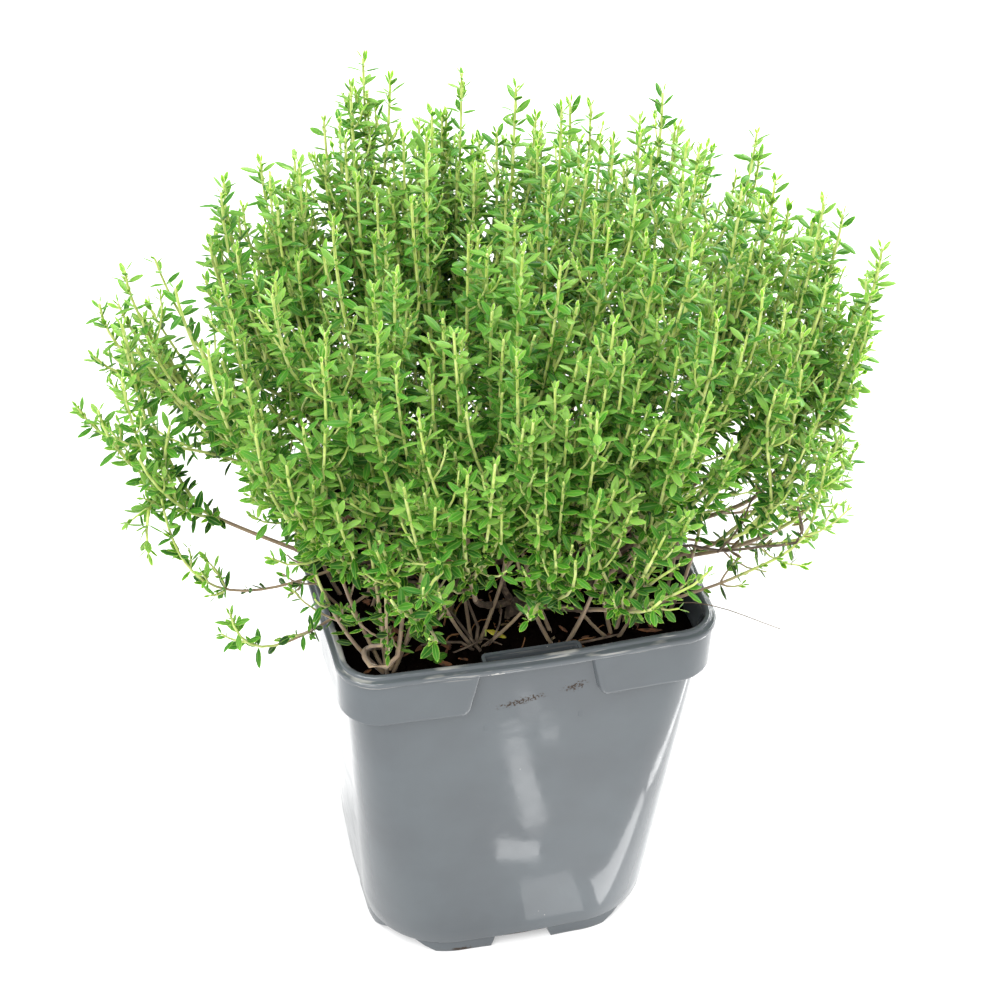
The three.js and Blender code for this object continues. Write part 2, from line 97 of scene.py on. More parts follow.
def srgb(code: str) -> tuple[float, ...]:
    """Turns an sRGB hex colour, six digits after a hash sign, into linear red, green, blue and alpha."""
    parts = [int(code[k : k + 2], 16) / 255 for k in (1, 3, 5)]
    return (*(p / 12.92 if p <= 0.04045 else ((p + 0.055) / 1.055) ** 2.4 for p in parts), 1.0)


# ---------------------------------------------------------------- surfaces and meshes


@dataclass
class Surface:
    """Closed surfaces as arrays, in millimetres. Materials read the values, one per point, by name."""

    points: Array
    quads: Array
    uv: Array
    tris: Array = field(default_factory=lambda: np.zeros((0, 3), int))
    values: dict[str, Array] = field(default_factory=dict)
    slot: int = 0


def build_piece(name: str, surfaces: list[Surface], materials: list[Material], sharp: float = 40) -> Piece:
    """Makes one smooth-shaded object out of surfaces, with its place in its mesh.

    Args:
        name: The piece's name.
        surfaces: What it consists of.
        materials: One for each slot number that the surfaces use.
        sharp: Edges that turn by more degrees than this stay sharp.

    Returns:
        The new object.
    """
    starts = np.cumsum([0] + [len(s.points) for s in surfaces])
    points, uv = (np.concatenate([getattr(s, key) for s in surfaces]) for key in ("points", "uv"))
    placed = list(zip(surfaces, starts))
    faces = [(getattr(s, key), start, s.slot) for key in ("quads", "tris") for s, start in placed]
    corners = np.concatenate([(face + start).ravel() for face, start, _ in faces]).astype(np.int32)
    totals = np.concatenate([np.full(len(face), face.shape[1]) for face, _, _ in faces])
    slots = np.concatenate([np.full(len(face), int(slot)) for face, _, slot in faces])
    firsts = np.concatenate([[0], np.cumsum(totals)[:-1]])
    mesh = bpy.data.meshes.new(name)
    mesh.vertices.add(len(points))
    mesh.vertices.foreach_set("co", (points * MM).astype(np.float32).ravel())
    mesh.loops.add(len(corners))
    mesh.loops.foreach_set("vertex_index", corners)
    mesh.polygons.add(len(totals))
    for key, numbers in (("loop_start", firsts), ("loop_total", totals), ("material_index", slots)):
        mesh.polygons.foreach_set(key, numbers.astype(np.int32))
    mesh.polygons.foreach_set("use_smooth", np.ones(len(totals), dtype=bool))
    mesh.uv_layers.new(name="UVMap").uv.foreach_set("vector", uv[corners].astype(np.float32).ravel())
    for key in sorted({key for s in surfaces for key in s.values}):
        values = np.concatenate([s.values.get(key, np.zeros(len(s.points))) for s in surfaces])
        mesh.attributes.new(key, "FLOAT", "POINT").data.foreach_set("value", values.astype(np.float32))
    mesh.update(calc_edges=True)
    mesh.validate()
    mesh.set_sharp_from_angle(angle=math.radians(sharp))
    for material in materials:
        mesh.materials.append(material)
    piece = bpy.data.objects.new(name, mesh)
    bpy.context.scene.collection.objects.link(piece)
    return piece


def grid_faces(rows: int, columns: int) -> tuple[Array, Array]:
    """The quads and the UV places of rows of points, each of which closes on itself.

    Args:
        rows: How many rows.
        columns: How many points in a row.

    Returns:
        Four point numbers for each quad, and for each point u round the row and v across the rows.
    """
    r, c = np.meshgrid(np.arange(rows - 1), np.arange(columns), indexing="ij")
    a, b = r * columns + c, r * columns + (c + 1) % columns
    u, v = np.meshgrid(np.arange(columns) / columns, np.linspace(0, 1, rows))
    quads = np.stack([a, b, b + columns, a + columns], axis=-1)
    return quads.reshape(-1, 4), np.stack([u, v], axis=-1).reshape(-1, 2)


def pole_faces(rings: int, sides: int) -> Array:
    """The triangles that close a stack of rings round a pole at its first and at its last ring.

    Args:
        rings: How many rings.
        sides: How many points in a ring. The two poles are numbered after all the rings.

    Returns:
        Three point numbers for each triangle.
    """
    k = np.arange(sides)
    after, top, pole = (k + 1) % sides, (rings - 1) * sides, np.full(sides, rings * sides)
    feet, heads = np.stack([after, k, pole], axis=1), np.stack([top + k, top + after, pole + 1], axis=1)
    return np.concatenate([feet, heads])


def closed_stack(rings: Array, slot: int = 0, values: dict[str, Array] | None = None) -> Surface:
    """A surface through rings of points, closed at both ends by a pole in the ring's middle.

    Args:
        rings: Points of shape (rings, points in a ring, 3), each ring counter-clockwise as seen
            from the last one.
        slot: The material slot.
        values: Numbers for each ring, by name.

    Returns:
        The closed surface, with u round the ring and v along the stack.
    """
    count, sides = rings.shape[:2]
    points = np.concatenate([rings.reshape(-1, 3), rings[:1].mean(axis=1), rings[-1:].mean(axis=1)])
    quads, uv = grid_faces(count, sides)
    spread = {key: np.concatenate([np.repeat(v, sides), v[:1], v[-1:]]) for key, v in (values or {}).items()}
    uv = np.concatenate([uv, [[0.5, 0], [0.5, 1]]])
    return Surface(points, quads, uv, pole_faces(count, sides), spread, slot)


def frames_along(points: Array, along: Array) -> tuple[Array, Array]:
    """Directions square to a path, as in the CAD source.

    Args:
        points: Points on the path, of shape (n, 3).
        along: The path's direction at each.

    Returns:
        Level round the pot, and square to that and to the path.
    """
    level = np.stack([-points[:, 1], points[:, 0], np.zeros(len(points))], axis=1)
    level[np.linalg.norm(level, axis=1) < 1] = (0, 1, 0)
    right = level - along * np.sum(level * along, axis=1, keepdims=True)
    lost = np.linalg.norm(right, axis=1) < 1e-3 * np.linalg.norm(level, axis=1)
    right[lost] = np.cross(along[lost], (0.0, 0.0, 1.0))
    right = unit(right)
    return right, np.cross(along, right)


def sweep(
    path: Array, reach: Array, slot: int = 0, twist: float = 0.0, values: dict[str, Array] | None = None
) -> Surface:
    """A stem: a profile carried along a path and closed at both ends.

    Args:
        path: The middle line, of shape (n, 3).
        reach: The profile's radius at each point of the path and each of equal steps round it.
        slot: The material slot.
        twist: An angle by which the profile is turned.
        values: Numbers for each point of the path, by name.

    Returns:
        The closed stem.
    """
    right, ahead = frames_along(path, unit(np.gradient(path, axis=0)))
    turned = TURN * np.arange(reach.shape[1]) / reach.shape[1] + twist
    level = (reach * np.cos(turned))[:, :, None] * right[:, None, :]
    forward = (reach * np.sin(turned))[:, :, None] * ahead[:, None, :]
    return closed_stack(path[:, None, :] + level + forward, slot, values)


def smooth_path(points: Array, share: Array) -> Array:
    """Points on a smooth path through given points, by Catmull-Rom pieces.

    Between two points the path is the cubic whose slopes at its ends are half the difference of
    the neighbours on either side.

    Args:
        points: The points that the path goes through.
        share: Where on the path, from 0 at its start to 1 at its end.

    Returns:
        The points at these places.
    """
    p = np.concatenate([[2 * points[0] - points[1]], points, [2 * points[-1] - points[-2]]])
    at = np.clip(np.asarray(share, float), 0, 1) * (len(points) - 1 - 1e-6)
    k = at.astype(int)
    t = (at - k)[..., None]
    a, b, c, d = p[k], p[k + 1], p[k + 2], p[k + 3]
    return 0.5 * (2 * b + (c - a) * t + (2 * a - 5 * b + 4 * c - d) * t**2 + (3 * b - 3 * c + d - a) * t**3)


def arc_course(foot: Array, first: Array, last: Array, length: float) -> Course:
    """A path that leaves its foot along d0 and turns to d1: P(s) = P0 + l ((s - s^2 / 2) d0 + (s^2 / 2) d1).

    Args:
        foot: Where it starts.
        first: The direction d0, of length one.
        last: The direction d1, of length one.
        length: The length l.

    Returns:
        The course.
    """

    def course(s: Array) -> Array:
        """Points of the path."""
        s = np.asarray(s, float)[..., None]
        return foot + length * ((s - s**2 / 2) * first + s**2 / 2 * last)

    return course


# ---------------------------------------------------------------- materials


def wire(node: bpy.types.Node, **inputs: Any) -> None:
    """Sets or links a node's inputs.

    Args:
        node: The node.
        **inputs: A constant or an output socket for each input, by its name with underscores for
            spaces, or by in_ and its number.
    """
    for key, value in inputs.items():
        socket = node.inputs[int(key[3:])] if key.startswith("in_") else node.inputs[key.replace("_", " ")]
        if isinstance(value, bpy.types.NodeSocket):
            node.id_data.links.new(value, socket)
        else:
            socket.default_value = value


def add_node(
    tree: bpy.types.NodeTree,
    kind: str,
    settings: dict[str, Any] | None = None,
    out: int | str = 0,
    **inputs: Any,
) -> bpy.types.NodeSocket:
    """Adds a node with its settings and links, and gives one of its outputs.

    Args:
        tree: The node tree.
        kind: The node's type without the word ShaderNode.
        settings: The node's own properties. The entry stops sets a colour ramp: each stop is a
            place from 0 to 1 and an sRGB hex colour.
        out: Which output to give, by its number or its name.
        **inputs: Its inputs, as wire takes them.

    Returns:
        The output socket.
    """
    node = tree.nodes.new("ShaderNode" + kind)
    for key, value in (settings or {}).items():
        if key != "stops":
            setattr(node, key, value)
            continue
        band = node.color_ramp.elements
        while len(band) < len(value):
            band.new(0.5)
        for element, (place, code) in zip(band, value):
            element.position, element.color = place, srgb(code)
    wire(node, **inputs)
    return node.outputs[out]


def feature(millimetres: float) -> float:
    """The scale at which a texture's features have this size."""
    return 1 / (millimetres * MM)


Add = Callable[..., Any]
Patches = tuple[tuple[Point, Point, float], ...]
RGBA, MULTIPLY, MAXIMUM = {"data_type": "RGBA"}, {"operation": "MULTIPLY"}, {"operation": "MAXIMUM"}
SUM, CAPPED_SUM = {"operation": "ADD"}, {"operation": "ADD", "use_clamp": True}
SUBTRACT, MULTIPLY_ADD = {"operation": "SUBTRACT"}, {"operation": "MULTIPLY_ADD"}


@dataclass(frozen=True)
class Finish:
    """The finish of a real material. Each kind says in look what its shader's inputs are."""

    name: str

    def material(self) -> Material:
        """Builds the material.

        Returns:
            A Principled shader whose inputs are set or linked as look says.
        """
        material = bpy.data.materials.new(self.name)
        material.use_nodes = True
        tree = material.node_tree
        wire(tree.nodes["Principled BSDF"], **self.look(partial(add_node, tree)))
        return material

    def look(self, add: Add) -> dict[str, Any]:
        """The shader's inputs, from nodes that add puts into the material's tree."""
        raise NotImplementedError


@dataclass(frozen=True)
class MouldedPolypropylene(Finish):
    """Grey polypropylene from a polished mould: a soft shine, gentle waves, lime and splashed soil.

    A patch is a centre, half sizes and a tilt about Y, in millimetres and degrees.
    """

    name: str = "grey_moulded_polypropylene"
    dark: str = "#505559"
    light: str = "#545a5e"
    lime: str = "#b9b7b0"
    dirt: str = "#33261b"
    wave_mm: float = 26.0
    roughness: Span = (0.09, 0.17)
    dirt_patches: Patches = (
        ((-4.0, -53.0, 107.8), (13.0, 4.0, 2.4), -10.0),
        ((12.0, -53.0, 110.4), (6.5, 4.0, 2.8), -12.0),
        ((0.0, -45.0, 4.4), (9.5, 5.0, 1.0), 0.0),
        ((-19.0, -44.0, 0.6), (4.0, 5.0, 1.4), 0.0),
    )
    lime_patches: Patches = (((-11.8, -55.6, 122.0), (4.5, 2.5, 1.4), 0.0),)

    def patches(self, add: Add, place: Any, listed: Patches) -> Any:
        """A number that is 1 in the middle of each patch and falls to 0 at its edge.

        Args:
            add: Adds a node to the material's tree.
            place: Object coordinates.
            listed: The patches.

        Returns:
            The greatest of the patches' values.
        """
        total = None
        for centre, half, tilt in listed:
            spot = {"Location": [c * MM for c in centre], "Scale": [h * MM for h in half]}
            turned = (0, math.radians(tilt), 0)
            local = add("Mapping", {"vector_type": "TEXTURE"}, Vector=place, Rotation=turned, **spot)
            away = add("VectorMath", {"operation": "LENGTH"}, 1, Vector=local)
            value = add("MapRange", Value=away, From_Min=0.3, From_Max=1.0, To_Min=1.0, To_Max=0.0)
            total = value if total is None else add("Math", MAXIMUM, in_0=total, in_1=value)
        return total

    def look(self, add: Add) -> dict[str, Any]:
        """A grey body under dried lime, scuffs, splashed soil and smears, on object coordinates.

        Args:
            add: Adds a node to the material's tree.

        Returns:
            The shader's inputs.
        """
        place = add("TexCoord", out="Object")
        cloud = add("TexNoise", Vector=place, Scale=feature(22), Detail=3.0)
        body = add("ValToRGB", {"stops": [(0.35, self.dark), (0.65, self.light)]}, Fac=cloud)

        # Dried water leaves pale lime: spots of a few tenths of a millimetre, and a crust on the rim.
        spot = add("TexVoronoi", Vector=place, Scale=feature(3.4), Randomness=1.0)
        loose = add("TexNoise", Vector=place, Scale=feature(17), Detail=2.0)
        near = add("MapRange", Value=spot, From_Min=0.03, From_Max=0.07, To_Min=0.8, To_Max=0.0)
        some = add("MapRange", Value=loose, From_Min=0.6, From_Max=0.68)
        spots = add("Math", MULTIPLY, in_0=near, in_1=some)
        crust = add("TexNoise", Vector=place, Scale=feature(1.1), Detail=4.0)
        rimmed = add("Math", MULTIPLY, in_0=self.patches(add, place, self.lime_patches), in_1=crust)
        limed = add("MapRange", Value=rimmed, From_Min=0.3, From_Max=0.45, To_Max=0.75)
        limed = add("Math", MAXIMUM, in_0=spots, in_1=limed)

        # The rim is scuffed by handling: faint pale lines a few centimetres long on its outer face.
        height = add("SeparateXYZ", out="Z", Vector=place)
        drawn = add("Mapping", Vector=place, Scale=(0.05, 0.05, 1.0))
        scratch = add("TexNoise", Vector=drawn, Scale=feature(0.7), Detail=3.0)
        on_rim = add("MapRange", Value=height, From_Min=0.1205, From_Max=0.1225)
        fine_line = add("MapRange", Value=scratch, From_Min=0.56, From_Max=0.66, To_Max=0.5)
        scuff = add("Math", MULTIPLY, in_0=on_rim, in_1=fine_line)
        pale = add("Math", MAXIMUM, in_0=limed, in_1=scuff)
        spotted = add("Mix", RGBA, 2, in_0=pale, in_6=body, in_7=srgb(self.lime))

        # Splashed soil clings under the rim, in the drain notches and round the foot.
        grit = add("TexNoise", Vector=place, Scale=feature(0.75), Detail=5.0, Roughness=0.65)
        low = add("MapRange", Value=height, From_Min=0.001, From_Max=0.005, To_Min=0.1, To_Max=0.0)
        splash = add("Math", MULTIPLY, in_0=self.patches(add, place, self.dirt_patches), in_1=0.25)
        speck = add("Math", SUM, in_0=grit, in_1=add("Math", SUM, in_0=low, in_1=splash))
        soiled = add("MapRange", Value=speck, From_Min=0.71, From_Max=0.76, To_Max=0.9)
        colour = add("Mix", RGBA, 2, in_0=soiled, in_6=spotted, in_7=srgb(self.dirt))
        smear = add("TexNoise", Vector=place, Scale=feature(9), Detail=4.0, Distortion=0.8)
        glossy, matt = self.roughness
        rough = add("MapRange", Value=smear, From_Min=0.35, From_Max=0.65, To_Min=glossy, To_Max=matt)

        # Thin walls cool unevenly, which leaves shallow waves that break up the shine.
        wave = add("TexNoise", Vector=place, Scale=feature(self.wave_mm), Detail=3.0)
        waves = add("Bump", Strength=0.5, Distance=0.6 * MM, Height=wave)
        fine = add("TexNoise", Vector=place, Scale=feature(0.8), Detail=2.0)
        skin = add("Bump", Strength=0.12, Distance=0.05 * MM, Height=fine, Normal=waves)
        dulled = add("Math", CAPPED_SUM, in_0=rough, in_1=soiled)
        return {"IOR": 1.49, "Base_Color": colour, "Roughness": dulled, "Normal": skin}


@dataclass(frozen=True)
class PeatCompost(Finish):
    """Damp black peat: matt, crumbly and nearly black, with brown fibres showing in it."""

    name: str = "damp_peat_compost"
    dark: str = "#050302"
    middle: str = "#0c0705"
    fibre: str = "#3e2a1c"

    def look(self, add: Add) -> dict[str, Any]:
        """Crumbs of 2.4 mm in the colour and grains of 0.9 mm in the bump.

        Args:
            add: Adds a node to the material's tree.

        Returns:
            The shader's inputs.
        """
        place = add("TexCoord", out="Object")
        crumb = add("TexNoise", Vector=place, Scale=feature(2.4), Detail=6.0, Roughness=0.65)
        stops = [(0.3, self.dark), (0.55, self.middle), (0.68, self.middle), (0.78, self.fibre)]
        grain = add("TexNoise", Vector=place, Scale=feature(0.9), Detail=5.0, Roughness=0.7)
        bump = add("Bump", Strength=0.9, Distance=0.6 * MM, Height=grain)
        colour = add("ValToRGB", {"stops": stops}, Fac=crumb)
        return {"Roughness": 0.95, "Specular_IOR_Level": 0.01, "Base_Color": colour, "Normal": bump}


@dataclass(frozen=True)
class Bark(Finish):
    """Thin bark of a young woody stem: grey-brown, with fine lengthwise cracks and paler fibres."""

    name: str = "young_thyme_bark"
    dark: str = "#30261f"
    middle: str = "#56483b"
    pale: str = "#8a7965"

    def look(self, add: Add) -> dict[str, Any]:
        """Streaks that follow the stem by its UV map, and a mottle of 3 mm.

        Args:
            add: Adds a node to the material's tree.

        Returns:
            The shader's inputs.
        """
        stretched = add("Mapping", Vector=add("TexCoord", out="UV"), Scale=(7.0, 5.0, 1.0))
        streak = add("TexNoise", Vector=stretched, Scale=1.6, Detail=5.0, Roughness=0.6)
        mottle = add("TexNoise", Vector=add("TexCoord", out="Object"), Scale=feature(3), Detail=3.0)
        both = add("Mix", {"data_type": "FLOAT"}, in_0=0.45, in_2=streak, in_3=mottle)
        stops = [(0.32, self.dark), (0.5, self.middle), (0.66, self.pale)]
        bump = add("Bump", Strength=0.6, Distance=0.2 * MM, Height=streak)
        return {"Roughness": 0.82, "Base_Color": add("ValToRGB", {"stops": stops}, Fac=both), "Normal": bump}


@dataclass(frozen=True)
class GreenStem(Finish):
    """Young square stem: pale yellow-green and downy, turning brown and faintly purple lower down."""

    name: str = "young_thyme_stem"
    green: str = "#a6bb50"
    pale: str = "#ccd786"
    flush: str = "#9c8868"
    wood: str = "#84705e"

    def look(self, add: Add) -> dict[str, Any]:
        """Green stem where the attribute wood is 0 and bark where it is 1, with a ragged edge; the
        attribute holds real wood and painted shade low in the crown.

        Args:
            add: Adds a node to the material's tree.

        Returns:
            The shader's inputs.
        """
        wood = add("Attribute", {"attribute_name": "wood"}, "Fac")
        mottle = add("TexNoise", Vector=add("TexCoord", out="Object"), Scale=feature(2.5), Detail=3.0)
        fresh = add("ValToRGB", {"stops": [(0.35, self.green), (0.68, self.pale)]}, Fac=mottle)
        old = add("ValToRGB", {"stops": [(0.35, self.wood), (0.68, self.flush)]}, Fac=mottle)
        shift = add("Math", MULTIPLY_ADD, in_0=mottle, in_1=0.5, in_2=-0.25)
        edge = add("Math", CAPPED_SUM, in_0=wood, in_1=shift)
        factor = add("MapRange", Value=edge, From_Min=0.3, From_Max=0.7)
        colour = add("Mix", RGBA, 2, in_0=factor, in_6=fresh, in_7=old)
        return {"Roughness": 0.55, "Sheen_Weight": 0.15, "Base_Color": colour}


@dataclass(frozen=True)
class LeafTissue(Finish):
    """A thyme leaf: satin and faintly downy, with a sunk midrib and a rolled margin, and lit through."""

    name: str = "thyme_leaf_tissue"
    young: str = "#729a44"
    fresh: str = "#407a1f"
    mature: str = "#1f5410"
    old: str = "#0d2a06"
    blue: str = "#2f6a24"
    under: str = "#66893a"
    rib: str = "#86a650"
    roughness: float = 0.45

    def look(self, add: Add) -> dict[str, Any]:
        """The leaf on its UV map, where u runs across from 0 to 1 and v to the tip.

        The attribute age is 0 at a shoot's tip and 1 on old leaves, and painted shade raises it on
        leaves low in the middle of the crown; tone differs from leaf to leaf, and under is 1 on the
        lower face.

        Args:
            add: Adds a node to the material's tree.

        Returns:
            The shader's inputs.
        """
        across = add("SeparateXYZ", Vector=add("TexCoord", out="UV"))
        age, tone, below = (add("Attribute", {"attribute_name": n}, "Fac") for n in ("age", "tone", "under"))
        ripe = add("Math", MULTIPLY_ADD, in_0=tone, in_1=0.5, in_2=-0.25)
        # Old leaves take the darker stops, and so, as painted shade, do leaves low in the middle of the
        # crown.
        stage_and_shade = add("Math", CAPPED_SUM, in_0=age, in_1=ripe)
        stops = [(0.0, self.young), (0.26, self.fresh), (0.62, self.mature), (1.0, self.old)]
        green = add("ValToRGB", {"stops": stops}, Fac=stage_and_shade)
        bluish = add("MapRange", Value=tone, From_Min=0.6, From_Max=0.95, To_Min=0.0, To_Max=0.8)
        upper = add("Mix", RGBA, 2, in_0=bluish, in_6=green, in_7=srgb(self.blue))

        # The midrib is a fine pale line on u = 0.5, and a painted highlight pales the rolled margin at the
        # edges.
        distance = add("Math", {"operation": "ABSOLUTE"}, in_0=add("Math", SUBTRACT, in_0=across, in_1=0.5))
        rib = add("MapRange", Value=distance, From_Min=0.02, From_Max=0.08, To_Min=0.4, To_Max=0.0)
        margin = add("MapRange", Value=distance, From_Min=0.4, From_Max=0.5, To_Min=0.0, To_Max=0.35)
        lines = add("Math", MAXIMUM, in_0=rib, in_1=margin)
        veined_and_highlit = add("Mix", RGBA, 2, in_0=lines, in_6=upper, in_7=srgb(self.rib))
        faded = add("Math", MULTIPLY, in_0=below, in_1=0.7)
        sided = add("Mix", RGBA, 2, in_0=faded, in_6=veined_and_highlit, in_7=srgb(self.under))

        # Oil glands dimple the blade at 0.35 mm.
        gland = add("TexVoronoi", Vector=add("TexCoord", out="Object"), Scale=feature(0.35))
        relief = add("Math", SUBTRACT, in_0=gland, in_1=rib)
        bump = add("Bump", Strength=0.35, Distance=0.08 * MM, Height=relief)
        downy = {"Specular_IOR_Level": 0.12, "Sheen_Weight": 0.02, "Sheen_Roughness": 0.4}
        lit = {"Subsurface_Weight": 0.6, "Subsurface_Scale": 0.9 * MM, "Subsurface_Radius": (0.7, 1.0, 0.25)}
        return {"Roughness": self.roughness, **downy, **lit, "Base_Color": sided, "Normal": bump}


# A leaf that has yellowed in the shade, and dead leaves that have dried brown.
YELLOWED = LeafTissue(
    "yellowed_thyme_leaf", "#d2cc4a", "#c6be3e", "#b3a837", "#b3a837", "#b3a837", "#c2bb62", "#dcd684", 0.5
)
WITHERED = LeafTissue(
    "withered_thyme_leaf", "#8d7a5a", "#6f5b42", "#54412e", "#4a3b30", "#4a3b30", "#7d6a50", "#94815f", 0.8
)


@dataclass(frozen=True)
class DryMatter(Finish):
    """Dry plant matter: bark that breaks in flat orange-brown flakes, or pale coir threads."""

    dark: str
    light: str
    grain_mm: float

    def look(self, add: Add) -> dict[str, Any]:
        """A grain between two browns.

        Args:
            add: Adds a node to the material's tree.

        Returns:
            The shader's inputs.
        """
        place = add("TexCoord", out="Object")
        grain = add("TexNoise", Vector=place, Scale=feature(self.grain_mm), Detail=5.0)
        colour = add("ValToRGB", {"stops": [(0.35, self.dark), (0.67, self.light)]}, Fac=grain)
        return {"Roughness": 0.8, "Base_Color": colour}


BARK_CHIP = DryMatter("composted_bark_chip", "#2e1c11", "#7d4f2e", 2.2)
COIR_FIBRE = DryMatter("dry_coir_fibre", "#5a3920", "#a87a4a", 6.0)


@dataclass(frozen=True)
class WhiteFloor(Finish):
    """A matt white acrylic table, softly lit from below, which keeps shadows faint."""

    name: str = "matt_white_acrylic"
    colour: str = "#bebebe"
    glow: float = 0.35

    def look(self, add: Add) -> dict[str, Any]:
        """Plain matt white that glows."""
        glowing = {"Emission_Color": srgb("#ffffff"), "Emission_Strength": self.glow}
        return {"Base_Color": srgb(self.colour), "Roughness": 0.9, **glowing}


# ---------------------------------------------------------------- the pot

Ring = Callable[[Array, Array, Array], Array]
Ends = Callable[[Array], tuple[Array, Array]]


@dataclass
class NurseryPot:
    """The square pot: wall and rim, corner collars, broken foot ring, drained floor, label pocket.

    Its profiles are lists of heights and of insets from an outline.
    """

    height: float = 125.0
    rim_half: float = 55.0
    rim_corner: float = 12.0
    rim_drop: float = 3.0
    wall_top_half: float = 52.35
    base_half: float = 44.7
    base_corner: float = 26.0
    bulge: Span = (0.5, 1.2)
    wall: float = 1.2
    floor: float = 1.6
    foot_height: float = 4.0
    foot_half: float = 44.2
    foot_corner: float = 25.5
    foot_width: float = 3.2
    collar_bottom: float = 107.6
    collar_half: float = 54.1
    collar_lean: float = 0.4
    collar_round: float = 1.8
    collar_gap: Span = (19.4, 16.1)
    side_notch: Span = (9.6, 8.2)
    corner_notch: Span = (12.0, 3.9)
    slot_half: float = 7.0
    slot_span: Span = (37.5, 42.8)
    pocket_half: float = 14.3
    pocket_face: float = 47.2
    pocket_span: Span = (98.0, 122.0)
    around: int = 160

    def outline(self, place: Array, half: Array, corner: Array, bulge: Array) -> Array:
        """Points on a square with round corners and bulging sides.

        A place is a distance along the outline in units of one side, from the middle of the -Y
        side towards +X. A straight stretch bulges by b (1 - q^2)^2, where q runs from -1 to 1
        along it, and is followed by a quarter circle.

        Args:
            place: Places from 0 to 4.
            half: Half the width, for each place.
            corner: The corner radius, for each place.
            bulge: The bulge, for each place.

        Returns:
            The x and y of each place.
        """
        place, half, corner, bulge = np.broadcast_arrays(place, half, corner, bulge)
        side = np.floor(place + 0.5)
        straight = half - corner
        length = (place - side) * (2 * straight + corner * np.pi / 2)
        flat = np.clip(length, -straight, straight)
        turn = np.where(np.abs(length) > straight, (np.abs(length) - straight) / corner, 0)
        x = np.sign(length) * (np.abs(flat) + corner * np.sin(turn))
        y = -half - bulge * (1 - (flat / straight) ** 2) ** 2 + corner * (1 - np.cos(turn))
        c, s = np.cos(side * np.pi / 2), np.sin(side * np.pi / 2)
        return np.stack([x * c - y * s, x * s + y * c], axis=-1)

    def ring(self, place: Array, z: Array, half: Array, corner: Array, bulge: Array, inset: Array) -> Array:
        """Points of an outline at the heights z, drawn in by an inset."""
        xy = self.outline(place, half - inset, corner - inset, bulge)
        return np.concatenate([xy, np.broadcast_to(z, xy.shape[:-1])[..., None]], axis=-1)

    def wall_ring(self, place: Array, z: Array, inset: Array) -> Array:
        """Points of the wall, which widens from the foot to the rim.

        Args:
            place: Places round the pot.
            z: The height of each.
            inset: How far each lies in from the wall's outer face.

        Returns:
            Points of the same shape, with x, y and z.
        """
        s = (z - self.foot_height) / (self.height - self.rim_drop - self.foot_height)
        corner = mix(self.base_corner, self.rim_corner - (self.rim_half - self.wall_top_half), s)
        half = mix(self.base_half, self.wall_top_half, s)
        return self.ring(place, z, half, corner, mix(*self.bulge, s), inset)

    def rim_ring(self, place: Array, z: Array, inset: Array) -> Array:
        """Points of the rim, by the same arguments as wall_ring."""
        return self.ring(place, z, self.rim_half, self.rim_corner, self.bulge[1], inset)

    def collar_ring(self, place: Array, z: Array, inset: Array) -> Array:
        """Points of a collar, which leans out up to the rim, by the same arguments as wall_ring."""
        half = self.collar_half + self.collar_lean * self.collar_share(z)
        return self.ring(place, z, half, self.rim_corner, self.bulge[1], inset)

    def foot_ring(self, place: Array, z: Array, inset: Array) -> Array:
        """Points of the foot ring, by the same arguments as wall_ring."""
        return self.ring(place, z, self.foot_half, self.foot_corner, self.bulge[0], inset)

    def wall_and_rim(self) -> Surface:
        """The wall with its rolled rim: a closed profile carried once round the outline.

        Returns:
            The closed shell, without its floor.
        """
        f, top = self.foot_height, self.height
        under, inside = top - self.rim_drop, f + self.floor
        outer = [(f, 2.4), (f, 0.9), (f + 0.12, 0.45), (f + 0.4, 0.15), (f + 0.9, 0.0)]
        outer += [(z, 0.0) for z in np.linspace(f + 6, under - 0.2, 12)]
        bead = [(0, 0.25), (0.25, 0.0), (1.35, 0.0), (1.65, 0.12), (1.8, 0.45), (1.85, 1.1)]
        bead += [(2.0, 1.4), (2.6, 1.5), (2.9, 1.75)]
        rim = [*((under + up, inset) for up, inset in bead), (top, 2.15)]
        rim += [(top, 2.6), (under + 2.85, 3.0), (under + 2.4, 3.25), (under + 1.2, 3.6)]
        inner = [(z, self.wall) for z in np.linspace(under - 1, inside + 1.4, 10)]
        inner += [(inside + 0.5, self.wall + 0.35), (inside - 0.2, self.wall + 1.2)]
        place = np.linspace(0, 4, self.around, endpoint=False)[None, :]
        parts = ((self.wall_ring, outer), (self.rim_ring, rim), (self.wall_ring, inner))
        rings = np.concatenate([ring(place, *np.array(profile).T[..., None]) for ring, profile in parts])
        quads, uv = grid_faces(len(rings) + 1, self.around)
        return Surface(rings.reshape(-1, 3), quads % (len(rings) * self.around), uv[: -self.around])

    def band(self, middle: float, ends: Ends, profile: list[Span], ring: Ring, buried: float) -> Surface:
        """A raised band on the outline between two slanted ends, with softly rounded edges.

        A closed profile is carried along the outline. At each end it first shrinks onto the wall
        and then runs level, so that the band's ends are rounded over.

        Args:
            middle: The place at the band's middle.
            ends: For heights, the places where the band starts and stops.
            profile: The band's section, once round, outer side first.
            ring: The outline that the insets belong to.
            buried: The inset to which the ends shrink.

        Returns:
            The closed band.
        """
        z, inset = np.array(profile).T
        edge, raised = np.array([0, 0, 0.0035, 0.010]), np.array([0.02, 0.8, 0.95, 1])
        along = np.concatenate([edge, np.linspace(0.03, 0.97, 44), 1 - edge[::-1]])[:, None]
        raised = np.concatenate([raised, np.ones(44), raised[::-1]])[:, None]
        place = middle + mix(*ends(z), along)
        return closed_stack(ring(place, np.broadcast_to(z, place.shape), mix(buried, inset, raised))[:, ::-1])

    def collar_share(self, z: Array) -> Array:
        """How far up the collar a height is, from 0 to 1."""
        return (z - self.collar_bottom) / (self.height - self.rim_drop + 0.2 - self.collar_bottom)

